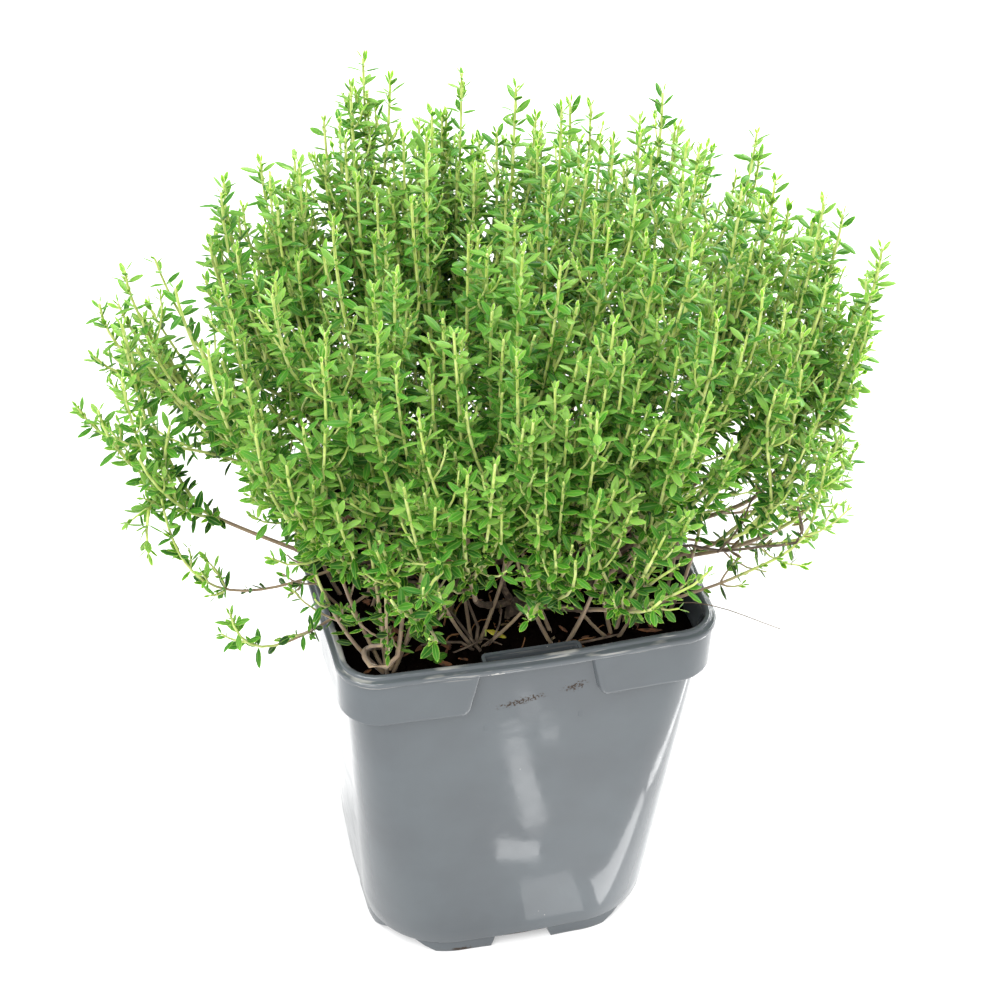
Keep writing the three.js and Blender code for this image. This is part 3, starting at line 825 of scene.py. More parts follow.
    def collar_ends(self, z: Array) -> tuple[Array, Array]:
        """The slanted ends of a collar, whose lower corners are quarter circles.

        Args:
            z: Heights.

        Returns:
            Where the collar starts and stops at these, as places from the corner.
        """
        side = 2 * (self.collar_half - self.rim_corner) + self.rim_corner * np.pi / 2
        r = self.collar_round
        near = np.clip(r - (z - self.collar_bottom), 0, r)
        gap = (mix(*self.collar_gap, self.collar_share(z)) + r - np.sqrt(r**2 - near**2)) / side
        return gap - 0.5, 0.5 - gap

    def collars(self) -> list[Surface]:
        """Makes the four corner collars.

        Returns:
            A closed band for each.
        """
        low, high = self.collar_bottom, self.height - self.rim_drop + 0.2
        rise = [low + 0.35, low + 1.0, low + 2.2, low + 6, high - 4, high]
        profile = [(low, 0.5), (low + 0.1, 0.15), *((z, 0.0) for z in rise)]
        profile += [(high, 3.0), (low + 6, 3.0), (low + 0.4, 3.0), (low, 2.6)]
        return [self.band(k + 0.5, self.collar_ends, profile, self.collar_ring, 2.6) for k in range(4)]

    def foot_ends(self, mirror: bool, z: Array) -> tuple[Array, Array]:
        """The ends of a foot, from a side's notch to a corner's, both wider at the ground.

        Args:
            mirror: Whether the foot lies before the middle of its side, not after it.
            z: Heights.

        Returns:
            Where the foot starts and stops at these, as places from the side's middle.
        """
        side = 2 * (self.foot_half - self.foot_corner) + self.foot_corner * np.pi / 2
        s = np.clip(z / self.foot_height, 0, 1)
        near, far = mix(*self.side_notch, s) / side, 0.5 - mix(*self.corner_notch, s) / side
        return (-far, -near) if mirror else (near, far)

    def feet(self) -> list[Surface]:
        """Makes the eight feet between the drain notches.

        Returns:
            A closed band for each.
        """
        w, top = self.foot_width, self.foot_height + 0.4
        profile = [(0, 0.3), (0.08, 0.1), (0.3, 0.0), (2, 0.0), (top, 0.0)]
        profile += [(top, w), (2, w), (0.3, w), (0, w - 0.3)]
        pairs = [(k, mirror) for k in range(4) for mirror in (False, True)]
        return [self.band(k, partial(self.foot_ends, m), profile, self.foot_ring, w / 2) for k, m in pairs]

    def drained_floor(self) -> Surface:
        """The floor as a plate on a grid, with a slot near the middle of each side.

        A grid line's x is drawn in towards the corners so that the plate's edge follows the
        outline: x = a X(y), where X is the outline's half width at y. The cells of the slots are
        left out, and walls close the plate wherever a cell has no neighbour.

        Returns:
            The closed plate.
        """
        half, corner = self.base_half - 1.0, self.base_corner - 1.0
        inner, outer, reach = self.slot_span[0] / half, self.slot_span[1] / half, self.slot_half / half
        steps = (outer, inner, reach, 1.0, 0.72, 0.6, 0.48, 0.32, 0.22)
        marks = [0.0, *(side * step for side in (-1, 1) for step in steps)]
        lines = np.unique(np.round(marks, 6))
        n = len(lines)
        b, a = np.meshgrid(lines, lines, indexing="ij")
        over = np.clip(np.abs(b * half) - (half - corner), 0, corner)
        x, y = a * (half - corner + np.sqrt(corner**2 - over**2)), b * half
        levels = (self.foot_height + 0.02, self.foot_height + self.floor)
        sheets = [np.stack([x, y, np.full((n, n), z)], axis=-1) for z in levels]
        points = np.concatenate([sheet.reshape(-1, 3) for sheet in sheets])
        middle = (lines[:-1] + lines[1:]) / 2
        mb, ma = np.abs(np.meshgrid(middle, middle, indexing="ij"))
        across_x = (ma > inner) & (ma < outer) & (mb < reach)
        across_y = (mb > inner) & (mb < outer) & (ma < reach)
        solid = ~(across_x | across_y)
        p = np.ravel_multi_index(np.nonzero(solid), (n, n))
        lower = np.stack([p, p + n, p + n + 1, p + 1], axis=1)
        upper = np.stack([p, p + 1, p + n + 1, p + n], axis=1) + n * n
        padded = np.pad(solid, 1)
        sides = []
        for dr, dc, first, second in ((-1, 0, 0, 1), (0, 1, 1, n + 1), (1, 0, n + 1, n), (0, -1, n, 0)):
            bare = solid & ~padded[1 + dr : n + dr, 1 + dc : n + dc]
            p = np.ravel_multi_index(np.nonzero(bare), (n, n))
            sides.append(np.stack([p + first, p + second, p + second + n * n, p + first + n * n], axis=1))
        return Surface(points, np.concatenate([lower, upper, *sides]), points[:, :2] / 100)

    def label_pocket(self) -> Surface:
        """The label pocket: a plate with two webs to the wall, as a rounded U drawn upwards.

        Point k of the U and point n - 1 - k lie on opposite faces of it, so its two caps are
        strips between them.

        Returns:
            The closed plate and webs.
        """
        h, face, deep = self.pocket_half, self.pocket_face, self.wall_top_half - 0.6
        turn = np.linspace(0, np.pi / 2, 6)
        corner = np.stack([np.cos(turn), np.sin(turn)], axis=1)
        outer = corner * 1.6 + (h - 1.6, 1 - face - 1.6)
        inner = (corner * 0.6 + (h - 1 - 0.6, -face - 0.6))[::-1]
        middle = [[-h, -deep], [1 - h, -deep]]
        far_outer, far_inner = outer[::-1] * (-1, 1), inner[::-1] * (-1, 1)
        parts = [[[h, -deep]], outer, far_outer, middle, far_inner, inner, [[h - 1, -deep]]]
        loop = np.concatenate(parts)
        n = len(loop)
        ends = [np.concatenate([loop, np.full((n, 1), z)], axis=1) for z in self.pocket_span]
        points = np.concatenate(ends)
        k = np.arange(n // 2 - 1)
        low = np.stack([k, n - 1 - k, n - 2 - k, k + 1], axis=1)
        high = np.stack([k, k + 1, n - 2 - k, n - 1 - k], axis=1) + n
        quads, uv = grid_faces(2, n)
        return Surface(points, np.concatenate([quads, low, high]), uv)

    def build(self) -> Piece:
        """Builds the pot and has it stand for the CAD pot.

        Returns:
            The pot.
        """
        surfaces = [self.wall_and_rim(), *self.collars(), *self.feet()]
        surfaces += [self.drained_floor(), self.label_pocket()]
        pot = build_piece("moulded_pot", surfaces, [MouldedPolypropylene().material()], sharp=50)
        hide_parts("pot")
        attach(pot, "root")
        return pot


# ---------------------------------------------------------------- the soil


class SoilPart(IntEnum):
    """Which of the soil's materials a surface takes."""

    EARTH = 0
    CHIP = 1
    FIBRE = 2


@dataclass
class PottingSoil:
    """The peat that fills the pot, with crumbs, bark bits and fibres lying on it."""

    level: float = 115.0
    relief: float = 1.4
    floor: float = 5.9
    grains: tuple[Span, ...] = ((9.0, 0.5), (4.6, 0.42), (2.3, 0.3))
    around: int = 180
    top_rings: int = 52
    spread: float = 49.0
    crumbs: int = 620
    chips: int = 70
    fibres: int = 60
    flakes: int = 46
    shell: NurseryPot = field(default_factory=NurseryPot)

    def height(self, x: Array, y: Array) -> Array:
        """The height of the soil's uneven surface, as in the CAD source."""
        lumps = np.sin(x * 0.21 + 0.6) * np.cos(y * 0.17 - 0.4) + 0.6 * np.sin(x * 0.09 - y * 0.26)
        return self.level + self.relief * lumps

    def grain(self, x: Array, y: Array) -> Array:
        """Small crumbs on the surface: turned sine products, each with a wave length and a height.

        Args:
            x: Places.
            y: Places.

        Returns:
            Their heights over the surface.
        """
        out = np.zeros_like(x)
        for k, (size, high) in enumerate(self.grains):
            c, s = math.cos(0.7 + 1.3 * k), math.sin(0.7 + 1.3 * k)
            u, v = (x * c + y * s) / size * 2 * np.pi, (y * c - x * s) / size * 2 * np.pi
            out += high * np.sin(u + 1.7 * np.sin(0.61 * v + k)) * np.sin(v + 1.3 * np.sin(0.73 * u))
        return out

    def body(self) -> Surface:
        """The soil: a stack of the pot's inner outline, whose top rings shrink to the middle.

        Returns:
            The closed soil.
        """
        place = np.linspace(0, 4, self.around, endpoint=False)
        walls = [(self.floor, 2.7), (self.floor + 1.2, 1.5)]
        walls += [(z, 1.5) for z in [*np.linspace(20, self.level - 3, 8), self.level - 2.8]]
        rings = [self.shell.wall_ring(place, np.full_like(place, z), inset) for z, inset in walls]
        edge = rings.pop()
        for share in np.linspace(1, 0.012, self.top_rings):
            x, y = edge[:, 0] * share, edge[:, 1] * share
            fade = min(1.0, (1 - share) * 14)
            height = self.height(x, y) + fade * self.grain(x, y) - (1 - fade) * 0.3
            rings.append(np.stack([x, y, height], axis=1))
        return closed_stack(np.stack(rings))

    def lumps(self, count: int, size: Span, flat: float, long: float, seed: int, slot: int) -> list[Surface]:
        """Small pebbles of earth or bark: spheres of 6 by 5 points with dented radii, turned and tilted.

        Args:
            count: How many.
            size: The least and greatest radius.
            flat: How thick they are for their width.
            long: How long they are for their width.
            seed: Which set of random values they take.
            slot: The material slot.

        Returns:
            The lumps.
        """
        n = (np.arange(count) + seed)[:, None, None]
        azimuth, away = 2 * np.pi * scatter(n, 1), np.sqrt(scatter(n, 2))
        square = np.maximum(np.abs(np.cos(azimuth)), np.abs(np.sin(azimuth)))
        x, y = (self.spread * away * f(azimuth) * np.minimum(1.12, 0.93 / square) for f in (np.cos, np.sin))
        radius = mix(*size, scatter(n, 3) ** 2.2)
        turn, tilt = 2 * np.pi * scatter(n, 4), (scatter(n, 5) - 0.5) * 0.9
        row, side = np.arange(5)[:, None], np.arange(6)
        theta, phi = np.pi * (row + 0.6) / 5.2, 2 * np.pi * side / 6
        reach = 0.72 + 0.5 * scatter(n * 7 + row * 3, side + 6)
        a = np.sin(theta) * np.cos(phi) * long * reach * radius
        b = np.sin(theta) * np.sin(phi) * reach * radius
        c = -np.cos(theta) * flat * reach * radius
        level, upright = a * np.cos(tilt) - c * np.sin(tilt), a * np.sin(tilt) + c * np.cos(tilt)
        px = x + level * np.cos(turn) - b * np.sin(turn)
        py = y + level * np.sin(turn) + b * np.cos(turn)
        pz = self.height(x, y) + 0.45 * radius * flat + upright
        return [closed_stack(one, slot) for one in np.stack([px, py, pz], axis=-1)]

    def threads(self) -> list[Surface]:
        """Coir and root fibres: thin curved tubes that lie on the soil.

        Returns:
            The fibres.
        """
        out = []
        t = np.linspace(-0.5, 0.5, 9)
        for n in range(self.fibres):
            azimuth, away = 2 * np.pi * scatter(n, 31), 44 * math.sqrt(scatter(n, 32))
            heading, length = 2 * np.pi * scatter(n, 33), mix(5, 15, scatter(n, 34))
            bent = heading + (scatter(n, 35) - 0.5) * 2.4 * t
            x = away * math.cos(azimuth) + length * t * np.cos(bent)
            y = away * math.sin(azimuth) + length * t * np.sin(bent)
            z = self.height(x, y) + 0.5 + 1.6 * scatter(n, 36) * np.cos(np.pi * t) ** 2
            radius = mix(0.12, 0.3, scatter(n, 37))
            out.append(sweep(np.stack([x, y, z], axis=1), np.full((9, 5), radius), SoilPart.FIBRE))
        return out

    def shards(self) -> list[Surface]:
        """Flat pointed flakes of bark that lie on the soil, two fifths of them along its front edge.

        Returns:
            The flakes.
        """
        n = np.arange(self.flakes) + FLAKE_NUMBERS
        x = mix(-44, 44, scatter(n, 91))
        y = np.where(scatter(n, 90) < 0.4, mix(-46, -34, scatter(n, 92)), mix(-44, 44, scatter(n, 92)))
        heading, rise = 2 * np.pi * scatter(n, 93), (scatter(n, 94)[:, None] - 0.35) * 0.5
        level = np.stack([np.cos(heading), np.sin(heading), 0 * heading], axis=1)
        up = np.array([[0.0, 0.0, 1.0]])
        length = mix(3.0, 8.0, scatter(n, 95) ** 1.5)
        width, cup = length * mix(0.22, 0.4, scatter(n, 96)), 0 * n + 0.2
        shape = np.stack([length, width, cup, (scatter(n, 97) - 0.5) * 0.8, 0 * n, 0 * n], axis=1)
        axis, upper = level * np.cos(rise) + up * np.sin(rise), up * np.cos(rise) - level * np.sin(rise)
        gathered = LeafSet(soil=self.level - 3)
        gathered.add(np.stack([x, y, self.height(x, y) + 0.9], axis=1), axis, upper, shape)
        return gathered.surfaces(SoilPart.CHIP)

    def build(self) -> Piece:
        """Builds the soil and what lies on it, and has it stand for the CAD soil.

        Returns:
            The soil.
        """
        crumbs = self.lumps(self.crumbs, (0.5, 2.1), 0.8, 1.15, 900, SoilPart.EARTH)
        chips = self.lumps(self.chips, (0.7, 2.2), 0.35, 1.9, 1900, SoilPart.CHIP)
        materials = [PeatCompost().material(), BARK_CHIP.material(), COIR_FIBRE.material()]
        surfaces = [self.body(), *crumbs, *chips, *self.threads(), *self.shards()]
        soil = build_piece("peat_soil", surfaces, materials, sharp=180)
        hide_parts("soil")
        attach(soil, "root")
        return soil


# ---------------------------------------------------------------- where the shoots run


@dataclass
class CrownRule:
    """The rule by which the shoots spread, the same as in the CAD source.

    Reach, shoulder and skirt go round the pot in equal steps from +X towards +Y.
    """

    soil_level: float = 115.0
    spray_count: int = 45
    golden_angle: float = 137.508
    middle_share: float = 0.34
    foot_spread: float = 34.0
    spread_power: float = 1.7
    rise_power: float = 1.1
    low_rise_power: float = 0.45
    spray_start: float = 0.22
    crown_height: float = 238.0
    tip_power: float = 1.35
    skirt_power: float = 10.0
    wander: float = 1.3
    height_scatter: float = 8.0
    leader: tuple[int, float] = (28, 12.0)
    side_shift: float = 0.115
    side_span: float = 0.25
    plant_ring: float = 25.0
    fork_height: float = 6.5
    reach: tuple[float, ...] = (112, 118, 97, 79, 84, 103, 117, 94, 80, 73, 80, 98)
    shoulder: tuple[float, ...] = (214, 216, 220, 228, 230, 222, 210, 196, 182, 176, 182, 200)
    skirt: tuple[float, ...] = (66, 60, 55, 55, 55, 50, 44, 40, 30, 24, 28, 48)
    leader_tips: tuple[Point, ...] = (
        (-104, 26, 205), (-93, 23, 200), (-70, 33, 232), (-55, 34, 234),
        (-47, 32, 239), (-34, 52, 241), (-23, 74, 247), (-17, 35, 242), (-8, 50, 241), (3, 61, 246),
        (16, 49, 246), (28, 34, 246), (37, 13, 246), (46, 24, 242), (57, 6, 244), (66, -11, 240),
        (78, -4, 238), (89, -13, 235), (98, -6, 226), (105, -19, 222), (101, -25, 203), (97, -28, 185),
        (94, -33, 168), (62, -40, 224), (44, -30, 238), (10, -30, 236), (-30, -20, 232), (-60, -10, 228),
    )

    def leaders(self, spray: int) -> list[Point]:
        """The tall shoots that branch from a spray, the nearest one to each leader's tip.

        A tip at the radius r stands at 1 - (1 - r / reach)^(1 / p) across the crown, where p is
        the power by which the rule spreads the tips.

        Args:
            spray: The spray.

        Returns:
            For each leader its place across the crown in x and y, and how far over the rule it
            ends.
        """
        places = [self.place(i) for i in range(self.spray_count)]
        out = []
        for x, y, z in self.leader_tips:
            azimuth = math.atan2(y, x)
            share = min(math.hypot(x, y) / float(self.around(self.reach, azimuth)), 0.985)
            across = 1 - (1 - share) ** (1 / self.tip_power)
            cx, cy = across * math.cos(azimuth), across * math.sin(azimuth)
            away = [math.hypot(place["x"] - cx, place["y"] - cy) for place in places]
            if away.index(min(away)) == spray:
                out.append((cx, cy, z - float(self.point(cx, cy, 1.0, 0.0, 0.0)[2])))
        return out

    def around(self, values: tuple[float, ...], azimuth: Array) -> Array:
        """A value from a list that goes round the pot, eased by a cosine between its steps.

        Args:
            values: The list.
            azimuth: Angles round the pot.

        Returns:
            The value at each angle.
        """
        at = np.mod(azimuth / (2 * np.pi), 1) * len(values)
        k = np.floor(at).astype(int) % len(values)
        ease = (1 - np.cos((at - np.floor(at)) * np.pi)) / 2
        listed = np.asarray(values, float)
        return mix(listed[k], listed[(k + 1) % len(values)], ease)

    def point(self, x: Array, y: Array, t: Array, extra: float, phase: float) -> Array:
        """Points of the crown, with a stem's slow wander.

        Args:
            x: Place across the crown, from 0 in the middle to 1 at the edge.
            y: The same, square to x.
            t: From 0 at the soil to 1 at the tips.
            extra: Added to the tip's height.
            phase: The angle at which the wander starts.

        Returns:
            The points, of shape (n, 3).
        """
        x, y, t = np.broadcast_arrays(np.asarray(x, float), np.asarray(y, float), np.asarray(t, float))
        across, azimuth = np.hypot(x, y), np.arctan2(y, x)
        tip_radius = self.around(self.reach, azimuth) * (1 - np.maximum(0, 1 - across) ** self.tip_power)
        radius = mix(self.foot_spread * across, tip_radius, 1 - (1 - t) ** self.spread_power)
        shoulder = mix(self.crown_height, self.around(self.shoulder, azimuth), across**2)
        tip = shoulder - self.around(self.skirt, azimuth) * across**self.skirt_power + extra
        power = self.low_rise_power + (tip - 140) * (self.rise_power - self.low_rise_power) / 80
        bend, turn = self.wander * t, 5 * t + phase
        px, py = (radius * f(azimuth) + bend * f(turn) for f in (np.cos, np.sin))
        return np.stack([px, py, mix(self.soil_level, tip, t**power)], axis=-1)

    def place(self, i: int) -> dict[str, Any]:
        """Where a spray stands.

        Args:
            i: The spray.

        Returns:
            Its place across the crown in x and y, the plant that carries it, what is added to
            its height, and the phase of its wander.
        """
        across = math.sqrt((i + 0.5) / self.spray_count)
        turn = i * self.golden_angle
        azimuth = math.radians(turn)
        sector = math.floor((((turn + 22.5) % 360) + 360) / 45) % 8
        lift = self.leader[1] if i + 1 == self.leader[0] else 0.0
        return {
            "x": across * math.cos(azimuth),
            "y": across * math.sin(azimuth),
            "plant": 0 if across < self.middle_share else 1 + sector,
            "extra": self.height_scatter * (scatter(i, 1) - 0.5) * 2 + lift,
            "phase": 2 * math.pi * scatter(i, 2),
        }

    def main_course(self, i: int) -> Course:
        """The course of spray i's main shoot, from the wood at s = 0 to its tip at s = 1."""
        p = self.place(i)
        return lambda s: self.point(p["x"], p["y"], mix(self.spray_start, 1, s), p["extra"], p["phase"])

    def side_course(
        self, i: int, heading: float, start: float, stop: float, shift: float, lift: float, span: float
    ) -> Course:
        """The course of a shoot that leaves spray i's main shoot and then rises beside it.

        The shoot's place across the crown moves away from the main shoot by the sine of a quarter
        turn, over the first part of its way.

        Args:
            i: The spray.
            heading: The direction in which it moves away.
            start: Where on the way from soil to tip it leaves.
            stop: Where it ends.
            shift: How far it moves across the crown.
            lift: Added to its tip's height.
            span: Over how much of the way from soil to tip it moves away.

        Returns:
            The course.
        """
        p = self.place(i)

        def course(s: Array) -> Array:
            """Points of the side shoot.

            Args:
                s: Where along it they are.

            Returns:
                The points.
            """
            t = mix(start, stop, np.asarray(s, float))
            share = shift * np.sin(np.pi / 2 * np.minimum(1, (t - start) / span))
            x, y = p["x"] + share * math.cos(heading), p["y"] + share * math.sin(heading)
            over = np.maximum(1, np.hypot(x, y) / 1.02)
            rise = (lift * ((t - start) / (1 - start)) ** 1.5)[..., None] * np.array([0, 0, 1.0])
            return self.point(x / over, y / over, t, p["extra"], p["phase"]) + rise

        return course

    def straggler_course(self, azimuth: float, reach: float, tip: float, start: float) -> Course:
        """The cubic course of a straggler: out low over the rim, then up.

        Args:
            azimuth: Its heading in degrees.
            reach: How far out it ends.
            tip: How high it ends.
            start: How far out it starts.

        Returns:
            The course.
        """
        heading = math.radians(azimuth)
        out = np.array([math.cos(heading), math.sin(heading), 0])
        spots = [(start, 132), (mix(start, reach, 0.6), 128), (reach - 3, 131), (reach, tip)]
        a, b, c, d = (out * r + np.array([0, 0, z]) for r, z in spots)

        def course(s: Array) -> Array:
            """Points of the straggler."""
            s = np.asarray(s, float)[..., None]
            return a * (1 - s) ** 3 + 3 * b * s * (1 - s) ** 2 + 3 * c * s**2 * (1 - s) + d * s**3

        return course

    def plant_foot(self, plant: int) -> Array:
        """Where a plant comes out of the soil: one near the middle, and eight on a ring.

        Args:
            plant: The plant.

        Returns:
            The place on the soil.
        """
        turn = math.radians((plant - 1) * 45)
        ring_place = self.plant_ring * math.cos(turn), self.plant_ring * math.sin(turn)
        x, y = (1.0, -0.5) if plant == 0 else ring_place
        return np.array([x, y, self.soil_level])

    def limb(self, plant: int, course: Course, count: int = 14) -> Array:
        """The path of the limb from a plant's fork to a shoot, as in the CAD source.

        Args:
            plant: The plant.
            course: The shoot's course.
            count: How many points the path has.

        Returns:
            A quadratic curve whose end runs on into the shoot.
        """
        fork = self.plant_foot(plant) + (0, 0, self.fork_height)
        end, after = course(np.array([0.0, 0.01]))
        bend = end - unit(after - end) * 0.4 * np.linalg.norm(end - fork)
        t = np.linspace(0, 1, count)[:, None]
        return fork * (1 - t) ** 2 + 2 * bend * t * (1 - t) + end * t**2


# ---------------------------------------------------------------- leaves and shoots


class ShootPart(IntEnum):
    """Which of a shoot's materials a surface takes."""

    LEAF = 0
    STEM = 1


@dataclass(frozen=True)
class LeafForm:
    """The rings of points from which a leaf is made.

    A ring lies at the share v of the leaf's length, where half its width is w(v). Across it, x
    runs from -1 to 1, and the height over the blade is given in half widths.
    """

    stations: tuple[float, ...]
    widths: tuple[float, ...]
    across: tuple[float, ...]
    height: tuple[float, ...]
    below: tuple[float, ...]


FULL_LEAF = LeafForm(
    stations=(0.08, 0.3, 0.6, 0.87),
    widths=(0.32, 0.88, 0.98, 0.54),
    across=(-1, 0, 1, 0.58, 0, -0.58),
    height=(-0.2, -0.22, -0.2, 0.2, 0.02, 0.2),
    below=(0.3, 1.0, 0.3, 0.0, 0.0, 0.0),
)
SMALL_LEAF = LeafForm(
    stations=(0.16, 0.5, 0.84),
    widths=(0.55, 1.0, 0.62),
    across=(-1, 0, 1, 0),
    height=(-0.12, -0.2, -0.12, 0.12),
    below=(0.3, 1.0, 0.3, 0.0),
)


@dataclass
class LeafSet:
    """Gathers leaves and makes them all at once as closed thin surfaces.

    Each leaf follows a LeafForm. Its midrib is an arc, and its margins are cupped by c x^2.
    Leaves outside the soil stay over the pot's rim.
    """

    pot_rim: float = 125.0
    soil: float = 115.0
    soil_half: float = 47.5
    clearance: float = 1.2
    small_under: float = 4.4
    rows: list[Array] = field(default_factory=list)

    def add(self, root: Array, axis: Array, upper: Array, shape: Array) -> None:
        """Adds leaves, apart from those that would reach into the pot or the soil.

        Args:
            root: Where each starts, of shape (n, 3).
            axis: The direction in which each starts, of length one.
            upper: The way its upper face looks, of length one and square to the axis.
            shape: Length, width, cup, bend, age (raised by painted shade low in the crown) and tone of each,
                of shape (n, 6).
        """
        tip = root + axis * shape[:, :1]
        inside = np.max(np.abs(tip[:, :2]), axis=1) < self.soil_half
        floor = np.where(inside, self.soil + self.clearance, self.pot_rim + self.clearance)
        clear = np.minimum(tip[:, 2], root[:, 2]) > floor
        self.rows.append(np.concatenate([root, axis, upper, shape], axis=1)[clear])

    def surfaces(self, slot: int) -> list[Surface]:
        """Makes the surfaces of all the leaves, with fewer faces on the small ones.

        Args:
            slot: The material slot.

        Returns:
            The closed leaves.
        """
        data = np.concatenate(self.rows)
        small = data[:, 9] < self.small_under
        sorts = ((~small, FULL_LEAF), (small, SMALL_LEAF))
        return [self.blades(data[pick], form, slot) for pick, form in sorts]

    def blades(self, data: Array, form: LeafForm, slot: int) -> Surface:
        """Makes leaves of one form.

        Args:
            data: A row for each leaf, as add gathers them.
            form: The leaf's form.
            slot: The material slot.

        Returns:
            The closed leaves.
        """
        root, axis, upper = data[:, None, 0:3], data[:, None, 3:6], data[:, None, 6:9]
        length, width, cup, bend, age, tone = data[:, 9:].T
        across = np.asarray(form.across)
        n, rings, sides = len(data), len(form.stations), len(across)

        def spine(v: Array) -> tuple[Array, Array]:
            """Points on the midrib and the upper direction there, along an arc of the angle bend.

            Args:
                v: Shares of the leaf's length.

            Returns:
                The points and the directions, a row for each leaf.
            """
            turn = bend[:, None] * v[None, :]
            safe = np.where(np.abs(bend) < 1e-3, 1e-3, bend)[:, None]
            on = (np.sin(turn) / safe)[..., None] * axis
            down = ((np.cos(turn) - 1) / safe)[..., None] * upper
            lift = np.cos(turn)[..., None] * upper + np.sin(turn)[..., None] * axis
            return root + (on + down) * length[:, None, None], lift

        middle, lift = spine(np.asarray(form.stations))
        half = (width[:, None] / 2 * np.asarray(form.widths))[:, :, None]
        rise = (np.asarray(form.height) + cup[:, None, None] * across**2) * half + 0.04
        side = np.cross(axis, upper)[:, :, None, :]
        aside = (across * half)[..., None] * side
        body = middle[:, :, None, :] + aside + rise[..., None] * lift[:, :, None, :]
        ends, _ = spine(np.array([0.0, 1.0]))
        count = rings * sides + 2
        points = np.concatenate([body.reshape(n, rings * sides, 3), ends], axis=1).reshape(-1, 3)
        first = (np.arange(n) * count)[:, None, None]
        quads = (grid_faces(rings, sides)[0][:, [0, 3, 2, 1]] + first).reshape(-1, 4)
        tris = (pole_faces(rings, sides)[:, [1, 0, 2]] + first).reshape(-1, 3)
        u = np.concatenate([np.tile((across + 1) / 2, rings), [0.5, 0.5]])
        v = np.concatenate([np.repeat(form.stations, sides), [0.0, 1.0]])
        under = np.tile(np.concatenate([np.tile(form.below, rings), [0.3, 0.3]]), n)
        values = {"age": np.repeat(age, count), "tone": np.repeat(tone, count), "under": under}
        return Surface(points, quads, np.tile(np.stack([u, v], axis=1), (n, 1)), tris, values, slot)


@dataclass(frozen=True)
class ShootHabit:
    """How a shoot grows: its thickness, the spacing of its nodes and the size of its leaves."""

    stem: Span = (0.6, 0.36)
    sides: int = 8
    square: float = 0.3
    bud_gap: float = 1.5
    gap_growth: float = 0.55
    longest_gap: float = 5.8
    bare_share: float = 0.1
    leaf_length: Span = (4.5, 6.9)
    leaf_ratio: Span = (0.32, 0.41)
    axil_chance: float = 0.86
    lateral_chance: float = 0.3
    wood_until: float = 0.55
    samples: int = 90


MAIN_HABIT = ShootHabit()
SIDE_HABIT = ShootHabit(stem=(0.48, 0.34), bare_share=0.04, wood_until=0.0, lateral_chance=0.2, samples=60)
LATERAL_HABIT = ShootHabit(
    stem=(0.32, 0.24), sides=5, longest_gap=4.6, bare_share=0.16, leaf_length=(3.6, 5.8),
    axil_chance=0.3, lateral_chance=0.0, wood_until=0.0, samples=16,
)
STRAGGLER_HABIT = ShootHabit(
    stem=(0.46, 0.3), longest_gap=6.5, leaf_length=(4.2, 6.2), axil_chance=0.6, bare_share=0.12
)


def in_left_gap(points: Array) -> Array:
    """Whether points lie in the gap beside the low left branch, which widens upwards to 6 mm either way."""
    aside = 0.997 * points[..., 0] - 0.077 * points[..., 1] + 84
    return np.abs(aside) < np.clip((points[..., 2] - 150) / 5, 0, 6)


@dataclass
class Nodes:
    """The nodes of a shoot: their places and directions, the stem's radius and how far back they are."""

    here: Array
    along: Array
    right: Array
    ahead: Array
    stem: Array
    back: Array

    def outward(self, turn: Array) -> Array:
        """The directions out of the stem at the angles turn."""
        return np.cos(turn)[:, None] * self.right + np.sin(turn)[:, None] * self.ahead


